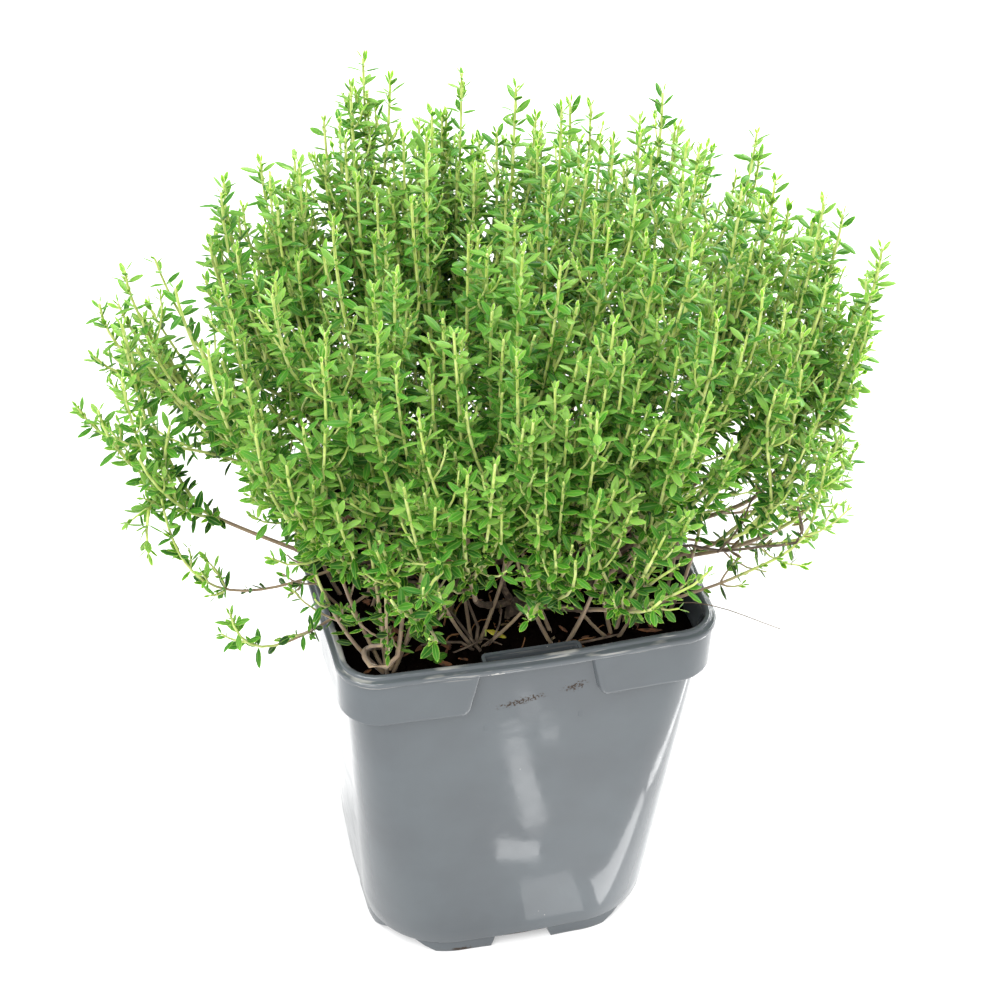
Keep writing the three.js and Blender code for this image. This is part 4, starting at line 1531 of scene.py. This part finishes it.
@dataclass
class Shoot:
    """One leafy shoot along a course, which goes from 0 at its foot to 1 at its tip.

    Its seed says which random values it takes, and its vigour is the size of its leaves.
    """

    course: Course
    seed: int
    habit: ShootHabit
    vigour: float = 1.0

    def __post_init__(self) -> None:
        """Measures the course and spaces the nodes, whose gaps grow from the bud down."""
        h = self.habit
        self.share = np.linspace(0, 1, h.samples)
        steps = np.linalg.norm(np.diff(self.course(self.share), axis=0), axis=1)
        self.measure = np.concatenate([[0], np.cumsum(steps)])
        self.length = float(self.measure[-1])
        self.twist = 2 * math.pi * chance(self.seed, 11)
        k = np.arange(90)
        gaps = np.minimum(h.bud_gap + 2 * h.gap_growth * k, h.longest_gap)
        back = np.concatenate([[0.15], 0.15 + np.cumsum(gaps * (0.8 + 0.4 * scatter(self.seed + k, 12)))])
        self.back = back[back < self.length * (1 - h.bare_share)]

    def nodes(self, back: Array) -> Nodes:
        """The points and directions of the shoot.

        Args:
            back: How far back from its tip each point is.

        Returns:
            Nodes at these distances.
        """
        s = np.interp(self.length - back, self.measure, self.share)
        step = 0.012
        here = self.course(s)
        along = unit(self.course(np.minimum(1, s + step)) - self.course(np.maximum(0, s - step)))
        radius = mix(*self.habit.stem, 1 - back / self.length)
        return Nodes(here, along, *frames_along(here, along), radius, back)

    def shaded(self, points: Array) -> Array:
        """How deep points lie in the dark under the crown, from 0 in the open to 1 low in its middle."""
        low = np.clip((178 - points[:, 2]) / 45, 0, 1)
        return low * np.clip((94 - np.hypot(points[:, 0], points[:, 1])) / 28, 0, 1)

    def stem_surface(self) -> Surface:
        """The square stem, which thins towards the bud, and whose attribute wood falls from its foot
        and is raised as painted shade low in the middle of the crown.

        Its profile's radius at the angle a is r (1 + square / 4 (1 - cos 4a)).

        Returns:
            The closed stem.
        """
        h, count = self.habit, max(4, int(self.length / 4.5))
        distance = np.linspace(0, self.length, count)
        path = self.course(np.interp(distance, self.measure, self.share))
        share = distance / self.length
        angle = 2 * np.pi * np.arange(h.sides) / h.sides
        reach = mix(*h.stem, share**0.8)[:, None] * (1 + h.square / 4 * (1 - np.cos(4 * angle)))
        wood = np.clip(0.5 + (h.wood_until - share) / 0.3, 0, 1) * (h.wood_until > 0)
        # Stems low in the middle of the crown take the bark colour as painted shade, besides the real woody
        # foot.
        wood = np.maximum(wood, 0.9 * self.shaded(path))
        return sweep(path, reach, ShootPart.STEM, self.twist, {"wood": wood})

    def laterals(self) -> "list[Shoot]":
        """The short side branches from the leaf axils, which start 50 degrees off the stem and turn up.

        Returns:
            The branches.
        """
        out = []
        nodes = self.nodes(self.back)
        index = np.arange(len(self.back))
        for face in (0, 1):
            number = self.seed * 11 + index * 2 + face
            way = nodes.outward(self.twist + index * np.pi / 2 + face * np.pi)
            chosen = (scatter(number, 61) < self.habit.lateral_chance) & (self.back > 13)
            for k in np.nonzero(chosen)[0]:
                length = min(mix(6.0, 24.0, chance(number[k], 62) ** 1.3), 0.62 * float(self.back[k]))
                start = unit(0.64 * nodes.along[k] + 0.77 * way[k])
                stop = unit(0.8 * nodes.along[k] + 0.25 * way[k] + np.array([0, 0, 0.3]))
                course = arc_course(nodes.here[k], start, stop, length)
                if not in_left_gap(course(1.0)):
                    out.append(Shoot(course, int(number[k]) * 3 + 1, LATERAL_HABIT, self.vigour))
        return out

    def grow(self, leaves: LeafSet) -> list[Surface]:
        """Grows the shoot: at each node a pair of leaves square to the last, with axil leaves over them.

        Args:
            leaves: Where the leaves are gathered.

        Returns:
            The stems.
        """
        h, back, nodes = self.habit, self.back, self.nodes(self.back)
        index, shade = np.arange(len(back)), self.shaded(nodes.here)
        young, old = np.exp(-back / 3.2), np.clip((back - 50) / 60, 0, 1)
        for face in (0, 1):
            number = self.seed * 7 + index * 3 + face
            turn = self.twist + index * np.pi / 2 + face * np.pi + (scatter(number, 13) - 0.5) * 0.5
            lift = np.radians(mix(mix(24, 0, old), 62, young) + (scatter(number, 14) - 0.5) * 36)
            grown = 0.5 + 0.5 * np.clip(back / 3.5, 0, 1)
            keep = scatter(number, 16) > 0.03 + 0.22 * old + 0.5 * shade
            length = mix(*h.leaf_length, scatter(number, 15)) * grown * (1 - 0.2 * old) * self.vigour
            self.add_leaves(leaves, nodes, keep, turn, lift, length, number)
            for child in range(4):
                pair, hand = divmod(child, 2)
                item = number * 5 + child
                born = (scatter(number, 24) < h.axil_chance * (0.6 if pair else 1)) & (back > 3.2)
                born &= (scatter(item, 25) < 0.92 - 0.6 * shade) & ~in_left_gap(nodes.here)
                swing = turn + (hand - 0.5) * (0.8 if pair else 1.7) + (scatter(item, 26) - 0.5) * 0.5
                rise = np.minimum(lift + np.radians(14 + 24 * pair + 16 * scatter(item, 27)), 1.35)
                size = mix(2.4, 5.0, scatter(item, 28)) * self.vigour * (0.8 if pair else 1)
                base = nodes.here + nodes.along * (0.3 + 0.8 * pair)
                axils = replace(nodes, here=base, back=np.minimum(back, 16))
                self.add_leaves(leaves, axils, born, swing, rise, size * np.clip(back / 8, 0.45, 1), item)
        return [self.stem_surface(), *(stem for branch in self.laterals() for stem in branch.grow(leaves))]

    def add_leaves(
        self,
        leaves: LeafSet,
        nodes: Nodes,
        keep: Array,
        turn: Array,
        lift: Array,
        length: Array,
        number: Array,
    ) -> None:
        """Adds one leaf at each node where keep is true.

        Args:
            leaves: Where the leaves are gathered.
            nodes: The nodes.
            keep: Which of the nodes bear the leaf.
            turn: The angle round the stem.
            lift: The angle from the way out of the stem towards the way along it.
            length: The leaves' lengths.
            number: A random number's index for each leaf.
        """
        out, along = nodes.outward(turn), nodes.along
        axis = np.cos(lift)[:, None] * out + np.sin(lift)[:, None] * along
        upper = np.cos(lift)[:, None] * along - np.sin(lift)[:, None] * out
        roll = ((scatter(number, 17) - 0.5) * 0.9)[:, None]
        upper = np.cos(roll) * upper + np.sin(roll) * np.cross(axis, upper)
        young = np.exp(-nodes.back / 5.0)
        cup = mix(-0.16 + 0.3 * (scatter(number, 19) - 0.5), 0.45, young)
        bend = mix(0.5 + 0.9 * (scatter(number, 20) - 0.4), -0.25, young)
        grown = 0.06 + nodes.back / 70 + 0.26 * (scatter(number, 21) - 0.5)
        # Leaves low in the middle of the crown are pushed towards the dark old colour as painted shade.
        age = np.clip(grown + 0.7 * self.shaded(nodes.here), 0, 1)
        tone = scatter(number * 0 + self.seed, 22) * 0.6 + scatter(number, 23) * 0.4
        width = length * mix(*self.habit.leaf_ratio, scatter(number, 18))
        root = nodes.here + out * (nodes.stem * 0.7)[:, None]
        shape = np.stack([length, width, cup, bend, age, tone], axis=1)
        leaves.add(root[keep], axis[keep], upper[keep], shape[keep])


def foliage_piece(
    name: str, shoots: list[Shoot], materials: list[Material], node: str = ""
) -> Piece:
    """Makes one piece of leafy shoots and has it ride on the plant's body.

    Args:
        name: The piece's name.
        shoots: Its shoots.
        materials: The leaf material and the stem material.
        node: The CAD node that it stands for, if any.

    Returns:
        The piece.
    """
    leaves = LeafSet()
    stems = [stem for shoot in shoots for stem in shoot.grow(leaves)]
    piece = build_piece(name, [*leaves.surfaces(ShootPart.LEAF), *stems], materials, sharp=70)
    if node:
        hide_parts(node)
    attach(piece, "root")
    return piece


@dataclass
class LeafySpray:
    """A leafy spray: its main shoot and the side shoots that branch from it.

    A thin heading is one on which the wood is bare for longer and bears fewer shoots, with how
    much. A leader's shoots are a drop, a shift aside and where on the way to the tip they leave.
    """

    number: int
    rule: CrownRule
    extra_shoots: int = 6
    lowest_tip: float = 150.0
    open_radius: float = 60.0
    thin_headings: tuple[Span, ...] = ((-0.25, 1.0), (3.5, 0.7))
    leader_shoots: tuple[Point, ...] = ((0, 0.0, 0.34), (13, 0.05, 0.5), (22, -0.055, 0.6))

    def shoots(self) -> list[Shoot]:
        """The main shoot, the side shoot of the CAD model and the finer ones beside them.

        Returns:
            The shoots.
        """
        i, rule = self.number, self.rule
        place = rule.place(i)
        outward, across = math.atan2(place["y"], place["x"]), math.hypot(place["x"], place["y"])
        thin = max(max(0.0, math.cos(outward - h)) ** 3 * across**5 * most for h, most in self.thin_headings)
        main = replace(MAIN_HABIT, bare_share=0.1 + 0.42 * thin, wood_until=0.22 + 0.35 * thin)
        out = [Shoot(rule.main_course(i), 31 * i, main)]
        first = outward + math.pi / 2 + (chance(i, 5) - 0.5) * 0.9
        start, stop = mix(0.36, 0.46, chance(i, 6)), mix(0.84, 0.94, chance(i, 7))
        side = rule.side_course(i, first, start, stop, rule.side_shift, 0, rule.side_span)
        out.append(Shoot(side, 31 * i + 13, SIDE_HABIT))
        for k in range(self.extra_shoots - round(3 * thin)):
            n = i * 10 + k
            fan = mix(2 * math.pi, 3.8, min(1.0, across**4 * 1.3))
            heading = outward + math.pi + fan * ((k + 0.5) / self.extra_shoots - 0.5) + (chance(n, 41) - 0.5)
            start, stop = mix(mix(0.24, 0.6, chance(n, 42)), 0.7, thin), mix(0.82, 1.0, chance(n, 43) ** 0.6)
            shift = mix(0.06, 0.24, chance(n, 44)) * (1 - 0.4 * thin)
            lift = (chance(n, 45) - mix(0.85, 0.3, across**4)) * 18
            course = rule.side_course(i, heading, start, stop, shift, lift, mix(0.2, 0.55, chance(n, 47)))
            tip = course(1.0)
            inner_or_high = tip[2] > self.lowest_tip or math.hypot(tip[0], tip[1]) < self.open_radius
            if inner_or_high and not in_left_gap(tip):
                vigour = mix(0.85, 1.05, chance(n, 46))
                out.append(Shoot(course, FINE_NUMBERS + 17 * n, SIDE_HABIT, vigour))
        for k, (x, y, extra) in enumerate(rule.leaders(i)):
            for m, (drop, aside, start) in enumerate(self.leader_shoots):
                px = x - place["x"] - aside * math.sin(outward)
                py = y - place["y"] + aside * math.cos(outward)
                heading, shift, lift = math.atan2(py, px), math.hypot(px, py), extra - place["extra"] - drop
                course = rule.side_course(i, heading, start, 1.0, shift, lift, 0.6)
                out.append(Shoot(course, LEADER_NUMBERS + 97 * i + 13 * k + 5 * m, SIDE_HABIT, 0.95))
        return out

    def build(self, materials: list[Material]) -> Piece:
        """Builds the spray, of a leaf and a stem material, and has it stand for its CAD node."""
        node = f"spray_{self.number + 1:02d}"
        return foliage_piece("leafy_" + node, self.shoots(), materials, node=node)


@dataclass
class Straggler:
    """A thin shoot that runs out low over the rim and turns up."""

    number: int
    azimuth: float
    reach: float
    tip: float
    start: float
    rule: CrownRule

    @property
    def plant(self) -> int:
        """The plant that carries it."""
        return 1 + (math.floor(self.azimuth / 45 + 0.5) % 8)

    def course(self) -> Course:
        """Its course from the wood to the tip."""
        return self.rule.straggler_course(self.azimuth, self.reach, self.tip, self.start)

    def build(self, materials: list[Material]) -> Piece:
        """Builds the straggler and has it stand for its CAD node.

        Args:
            materials: The leaf material and the stem material.

        Returns:
            The straggler.
        """
        node = f"straggler_{self.number + 1}"
        shoot = Shoot(self.course(), STRAGGLER_NUMBERS + 31 * self.number, STRAGGLER_HABIT)
        return foliage_piece("leafy_" + node, [shoot], materials, node=node)


@dataclass
class YoungClump:
    """Young shoots that fan out from one spot in the soil: brown at the foot, leafy above."""

    name: str
    foot: Span
    scattered: float
    length: Span
    count: int
    seed: int
    bare: float = 0.3
    foot_height: float = 113.5

    def shoots(self) -> list[Shoot]:
        """The shoots, which start outwards in turn round the foot and turn up.

        Returns:
            The shoots.
        """
        habit = ShootHabit(
            stem=(0.56, 0.33), wood_until=self.bare, bare_share=self.bare, leaf_length=(3.9, 6.2),
            lateral_chance=0.25, samples=40,
        )
        out = []
        for n in range(self.seed, self.seed + self.count):
            turn = 2 * math.pi * (n - self.seed + 0.7 * chance(n, 81)) / self.count
            c, s = math.cos(turn), math.sin(turn)
            aside = self.scattered * math.sqrt(chance(n, 82))
            foot = np.array([self.foot[0] + aside * c, self.foot[1] + aside * s, self.foot_height])
            lean = mix(0.25, 0.75, chance(n, 83))
            first = unit(np.array([lean * c, 0.75 * lean * s, 0.8]))
            last = unit(np.array([0.24 * lean * c, 0.16 * lean * s, 1.0]))
            course = arc_course(foot, first, last, mix(*self.length, chance(n, 84)))
            out.append(Shoot(course, CLUMP_NUMBERS + 13 * n, habit, 0.95))
        return out

    def build(self, materials: list[Material]) -> Piece:
        """Builds the clump as one piece, of a leaf and a stem material."""
        return foliage_piece(self.name, self.shoots(), materials)


CLUMPS = (
    YoungClump("front_clump_1", (-39.5, -38.5), 2.0, (38, 74), 6, 700, 0.26),
    YoungClump("front_clump_2", (-13, -33), 2.5, (54, 78), 4, 730, 0.48),
    YoungClump("front_clump_3", (11, -38.5), 2.0, (50, 74), 4, 760, 0.42),
    YoungClump("front_clump_4", (27, -38), 2.0, (46, 70), 4, 790, 0.4),
    YoungClump("front_clump_5", (43, -31), 3.0, (40, 66), 3, 820, 0.4),
    YoungClump("side_clump_1", (38, 2), 9.0, (40, 74), 6, 850),
    YoungClump("side_clump_2", (-40, -6), 9.0, (40, 74), 6, 880),
    YoungClump("back_clump_1", (30, 34), 10.0, (40, 74), 7, 910),
    YoungClump("back_clump_2", (-4, 38), 10.0, (40, 74), 7, 940),
    YoungClump("back_clump_3", (-34, 30), 10.0, (40, 74), 7, 970),
)


def leafy(stem: Span, bare: float, wood: float) -> ShootHabit:
    """The habit of a loose leafy shoot with this stem, bare share and share of wood."""
    grown = ShootHabit(leaf_length=(3.9, 6.0), axil_chance=0.7, lateral_chance=0.12)
    return replace(grown, stem=stem, bare_share=bare, wood_until=wood)


def dry(radius: float, bare: float) -> ShootHabit:
    """The habit of a dry twig with a few withered leaves past its bare share."""
    grown = ShootHabit(sides=6, longest_gap=9.0, leaf_length=(2.2, 4.0), axil_chance=0.15, lateral_chance=0.0)
    return replace(grown, stem=(radius, 0.6 * radius), bare_share=bare, samples=40)


# Shoots that go their own way: how each grows, which random values it takes, and its path.
LOOSE_SHOOTS = (
    (leafy((0.9, 0.4), 0.48, 0.55), 5001, (
        (-40, -30, 116), (-46, -40, 124), (-46, -50.5, 127.3), (-40, -51.5, 127.5), (-37, -46, 131),
        (-35, -42, 140), (-34, -44, 160),
    )),
    (leafy((0.6, 0.36), 0.35, 0.3), 5003, (
        (-44, -34, 116), (-45, -42, 127), (-42, -48, 133), (-43, -46, 150), (-45, -47, 168),
    )),
    (leafy((0.46, 0.3), 0.3, 0.25), 5005, (
        (30, -30, 116), (41, -41, 127), (61, -46, 137), (77, -50, 151), (81, -51, 179),
    )),
    (leafy((0.85, 0.36), 0.3, 0.7), 5007, (
        (25, 0, 116), (50, -10, 128), (73, -18, 141), (83, -20, 157), (92, -23, 176), (97, -25, 203),
    )),
    (leafy((0.75, 0.36), 0.45, 0.65), 5009, (
        (28, -12, 116), (46, -24, 128), (66, -34, 138), (84, -36, 150), (90, -36, 172),
    )),
)
DRY_TWIGS = (
    (dry(0.55, 0.35), 5101, (
        (25, -20, 116), (40, -36, 140), (46, -42, 147), (55, -44, 145), (65, -47, 147), (76, -50, 150),
        (74, -49, 163),
    )),
    (dry(0.12, 1.0), 5103, ((74, -49.4, 166), (76, -50, 158), (75.5, -49.7, 149), (74, -50, 140))),
    (dry(0.2, 1.0), 5105, ((34, -36, 116), (42, -43, 127.5), (54, -47, 127.5), (72, -52, 120))),
    (dry(0.4, 0.3), 5107, ((54, -44.4, 145), (60, -44, 152), (64, -42, 161), (70, -41, 168))),
    (dry(0.5, 1.0), 5111, ((-14, -36, 115), (-17, -37, 119), (-24, -37, 120.5), (-29, -36, 119.5))),
    (dry(0.5, 0.6), 5113, ((-12, -37, 115), (-16, -34, 121), (-20, -30, 127))),
    (dry(0.55, 0.6), 5115, ((-13, -35, 115), (-12, -33, 122), (-15, -29, 130), (-14, -25, 137))),
    (dry(0.4, 0.5), 5117, ((-11, -36, 115), (-7, -36, 120), (-5, -33, 126))),
    (dry(0.3, 1.0), 5119, ((-21, -38, 116.4), (-16, -38.5, 118.6), (-10, -36.5, 119), (-6, -38, 117))),
    (dry(0.5, 1.0), 5121, ((12, -40, 115), (14, -44, 118.5), (20, -45, 120), (27, -42, 118))),
    (dry(0.45, 0.4), 5123, ((40, -30, 115), (36, -36, 121), (28, -38, 126), (22, -37, 132))),
)


def loose(habit: ShootHabit, seed: int, points: tuple[Point, ...]) -> Shoot:
    """A shoot that grows by this habit along a smooth path through the points."""
    return Shoot(partial(smooth_path, np.array(points, float)), seed, habit, 0.95)


@dataclass
class GroundLeaves:
    """Single leaves low over the soil, on short stalks that stand in it.

    A leaf is its root, its heading and rise in degrees, its length and its width.
    """

    name: str
    leaves: tuple[tuple[Point, float, float, float, float], ...]
    stalk_foot: float = 113.0
    stalk_radius: float = 0.28

    def build(self, tissue: Material, stem: Material) -> Piece:
        """Builds the leaves and their stalks.

        Args:
            tissue: The leaf material.
            stem: The stem material.

        Returns:
            The piece.
        """
        gathered, stalks = LeafSet(soil=110.0), []
        for root, heading, rise, length, width in self.leaves:
            h, r = math.radians(heading), math.radians(rise)
            axis = np.array([[math.cos(h) * math.cos(r), math.sin(h) * math.cos(r), math.sin(r)]])
            upper = np.array([[-math.cos(h) * math.sin(r), -math.sin(h) * math.sin(r), math.cos(r)]])
            gathered.add(np.array([root]), axis, upper, np.array([[length, width, 0.1, 0.3, 0.45, 0.4]]))
            reach = np.array([0, 0, root[2] - self.stalk_foot])
            path = np.array(root) + np.linspace(-1, 0.05, 5)[:, None] * reach
            stalks.append(sweep(path, np.full((5, 5), self.stalk_radius), ShootPart.STEM))
        surfaces = [*gathered.surfaces(ShootPart.LEAF), *stalks]
        piece = build_piece(self.name, surfaces, [tissue, stem], sharp=70)
        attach(piece, "root")
        return piece


YELLOW_LEAF = GroundLeaves("yellowed_leaf", (((-9.5, -32.5, 118.6), -28, -6, 6.4, 2.5),))
SEED_LEAVES = tuple(((-25.4, -40.4, 117.6), heading, 18, 3.3, 3.1) for heading in (15, 165, 275))
SEEDLING = GroundLeaves("seedling", SEED_LEAVES)


@dataclass
class WoodyPlant:
    """The woody foot of one plant with its forked limbs, which run to its shoots' courses."""

    number: int
    rule: CrownRule
    courses: list[Course]
    foot_radius: float = 2.3
    limb_radius: Span = (1.2, 0.75)
    depth: float = 12.0
    trunk_top: float = 7.6

    def rough(self, path: Array, radii: Array, seed: float, sides: int) -> Surface:
        """A limb with uneven bark: the radius swells and shrinks by sines along and round it.

        Args:
            path: The limb's path.
            radii: Its radius at each point.
            seed: The phase of the sines.
            sides: How many points go round.

        Returns:
            The closed limb.
        """
        angle = 2 * np.pi * np.arange(sides) / sides
        along = np.linspace(0, 1, len(path))[:, None] * np.linalg.norm(path[-1] - path[0])
        swell = 1 + 0.09 * np.sin(1.9 * along + seed) + 0.07 * np.sin(3 * angle + 0.35 * along + 2 * seed)
        return sweep(path, radii[:, None] * (swell + 0.05 * np.sin(5 * angle - 0.8 * along)))

    def surfaces(self) -> list[Surface]:
        """The trunk and the limbs to all the shoots.

        Returns:
            Closed pieces of wood that run into each other at the fork.
        """
        z = np.linspace(-self.depth, self.trunk_top, 12)
        path = self.rule.plant_foot(self.number)
        path = path + np.stack([0.35 * np.sin(0.5 * z), 0.3 * np.sin(0.4 * z + 1), z], axis=1)
        radii = np.interp(z, [-self.depth, 0, 4, 7, self.trunk_top], [self.foot_radius, 2.2, 1.9, 1.8, 1.1])
        out = [self.rough(path, radii, self.number, 10)]
        for k, course in enumerate(self.courses):
            limb = self.rule.limb(self.number, course)
            out.append(self.rough(limb, np.linspace(*self.limb_radius, len(limb)), self.number + 2.3 * k, 8))
        return out

    def build(self, bark: Material) -> Piece:
        """Builds the plant's wood and has it stand for its CAD node.

        Args:
            bark: The bark material.

        Returns:
            The woody plant.
        """
        name = f"woody_plant_{self.number + 1}"
        piece = build_piece("bark_" + name, self.surfaces(), [bark], sharp=180)
        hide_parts(name)
        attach(piece, "root")
        return piece


# ---------------------------------------------------------------- light, floor and camera


@dataclass
class Studio:
    """A white sweep under soft light, and a camera fitted to the pot's edges.

    The entries of softboxes and cards are what softbox and low_card take.
    """

    azimuth: float = -13.9
    elevation: float = 36.85
    distance_mm: float = 671.6
    focal_pixels: float = 2306.6
    image_pixels: int = 1000
    roll: float = 0.80
    aim_right: float = 2.16
    aim_height: float = 139.6
    floor_half: float = 4000.0
    softboxes: tuple[tuple[str, Point, float, Span, float], ...] = (
        ("key_softbox_left", (-0.7, -0.7, 1.35), 0.15, (1.3, 1.3), 36),
        ("back_softbox_right", (0.9, 0.6, 0.8), 0.2, (1.2, 0.9), 44),
    )
    cards: tuple[tuple[str, Span, Span, float, float], ...] = (
        ("front_card_long", (14.5, -107), (10, 40), -3, 3.0),
        ("front_card_top", (24, -137), (10, 12), -20, 1.2),
        ("front_card_spot", (31, -123), (9, 6), 20, 2.0),
        ("front_card_short", (6, -78.5), (17, 9), 12, 3.4),
        ("front_card_near", (13, -58), (19, 15), 4, 1.0),
        ("right_card_far", (107, -36), (72, 11), 43, 4.0),
        ("right_card_near", (51, -58), (46, 13), -8, 3.2),
    )

    def placed(self, right: Array, up: Array, back: Array, at: Array) -> Matrix:
        """The matrix of a thing with these axes at this place."""
        return Matrix([[right[k], up[k], back[k], at[k]] for k in range(3)] + [[0, 0, 0, 1]])

    def camera(self) -> None:
        """Makes the camera: it looks from the azimuth and elevation at a point over the pot."""
        a, e, r = (math.radians(v) for v in (self.azimuth, self.elevation, self.roll))
        back = np.array([math.sin(a) * math.cos(e), -math.cos(a) * math.cos(e), math.sin(e)])
        right = np.array([math.cos(a), math.sin(a), 0.0])
        up = np.cross(back, right)
        at = (right * self.aim_right + np.array([0, 0, self.aim_height]) + back * self.distance_mm) * MM
        data = bpy.data.cameras.new("studio_camera")
        data.sensor_width = 36
        data.lens = self.focal_pixels * data.sensor_width / self.image_pixels
        data.clip_start, data.clip_end = 0.01, 20
        camera = bpy.data.objects.new("studio_camera", data)
        rolled_right = math.cos(r) * right + math.sin(r) * up
        rolled_up = math.cos(r) * up - math.sin(r) * right
        camera.matrix_world = self.placed(rolled_right, rolled_up, back, at)
        bpy.context.scene.collection.objects.link(camera)
        bpy.context.scene.camera = camera

    def floor(self) -> None:
        """Makes the white floor under the pot."""
        corners = np.array([[-1, -1, 0], [1, -1, 0], [1, 1, 0], [-1, 1, 0]]) * self.floor_half
        sheet = Surface(corners, np.array([[0, 1, 2, 3]]), corners[:, :2] / 1000)
        floor = build_piece("studio_floor", [sheet], [WhiteFloor().material()])

    def area_light(self, name: str, size: Span, watts: float, place: Matrix) -> None:
        """Adds a rectangular light that the camera doesn't see.

        Args:
            name: Its name.
            size: Its width and height in metres.
            watts: Its power.
            place: Its place and turn.
        """
        data = bpy.data.lights.new(name, "AREA")
        data.shape, data.energy = "RECTANGLE", watts
        data.size, data.size_y = size
        light = bpy.data.objects.new(name, data)
        light.matrix_world = place
        light.visible_camera = False
        bpy.context.scene.collection.objects.link(light)

    def softbox(self, name: str, place: Point, aim: float, size: Span, watts: float) -> None:
        """Hangs a softbox.

        Args:
            name: Its name.
            place: Its place in metres.
            aim: The height over the origin at which it looks, in metres.
            size: Its width and height in metres.
            watts: Its power.
        """
        back = unit(np.array(place) - (0, 0, aim))
        right = unit(np.cross((0.0, 0.0, 1.0), back))
        self.area_light(name, size, watts, self.placed(right, np.cross(back, right), back, place))

    def low_card(self, name: str, centre: Span, size: Span, turn: float, radiance: float) -> None:
        """Lays a glowing card face up on the floor, where it shows in the pot's shiny wall.

        Args:
            name: Its name.
            centre: Its centre in millimetres.
            size: Its width and depth in millimetres.
            turn: Its turn in degrees.
            radiance: How bright its face is.
        """
        wide, deep = size[0] * MM, size[1] * MM
        place = Matrix.Translation((centre[0] * MM, centre[1] * MM, 2 * MM))
        turned = place @ Matrix.Rotation(math.radians(turn), 4, "Z") @ Matrix.Rotation(math.pi, 4, "X")
        self.area_light(name, (wide, deep), radiance * math.pi * wide * deep, turned)

    def build(self) -> None:
        """Sets up the world, the floor, the lights and the camera."""
        world = bpy.data.worlds.new("white_studio")
        world.use_nodes = True
        bpy.context.scene.world = world
        wire(world.node_tree.nodes["Background"], Color=srgb("#ffffff"), Strength=1.0)
        bpy.context.scene.view_settings.view_transform = "Standard"
        self.floor()
        for box in self.softboxes:
            self.softbox(*box)
        for card in self.cards:
            self.low_card(*card)
        self.camera()


# ---------------------------------------------------------------- putting it together

# Each straggler's heading in degrees, how far out and how high it ends, and how far out it starts.
STRAGGLERS = ((193, 99, 172, 44), (211, 97, 152, 48), (352, 106, 152, 46), (340, 98, 146, 47))
PLANTS = 9


def main() -> None:
    """Builds the pot, the soil, the wood and the foliage, and reports each piece."""
    logging.basicConfig(level=logging.INFO, format="%(message)s")
    Studio().build()
    rule = CrownRule()
    pieces = [NurseryPot().build(), PottingSoil().build()]
    green = [LeafTissue().material(), GreenStem().material()]
    bark = Bark().material()
    sprays = [LeafySpray(i, rule) for i in range(rule.spray_count)]
    stragglers = [Straggler(k, *numbers, rule) for k, numbers in enumerate(STRAGGLERS)]
    for plant in range(PLANTS):
        courses = [rule.main_course(s.number) for s in sprays if rule.place(s.number)["plant"] == plant]
        courses += [s.course() for s in stragglers if s.plant == plant]
        pieces.append(WoodyPlant(plant, rule, courses).build(bark))
    pieces += [part.build(green) for part in (*sprays, *stragglers, *CLUMPS)]
    withered = [WITHERED.material(), bark]
    pieces.append(foliage_piece("loose_shoots", [loose(*one) for one in LOOSE_SHOOTS], green))
    pieces.append(foliage_piece("dry_twigs", [loose(*one) for one in DRY_TWIGS], withered))
    pieces += [YELLOW_LEAF.build(YELLOWED.material(), green[1]), SEEDLING.build(*green)]
    for piece in pieces:
        log.info("%s: %d triangles", piece.name, sum(len(p.vertices) - 2 for p in piece.data.polygons))
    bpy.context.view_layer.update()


if __name__ == "__main__":
    main()
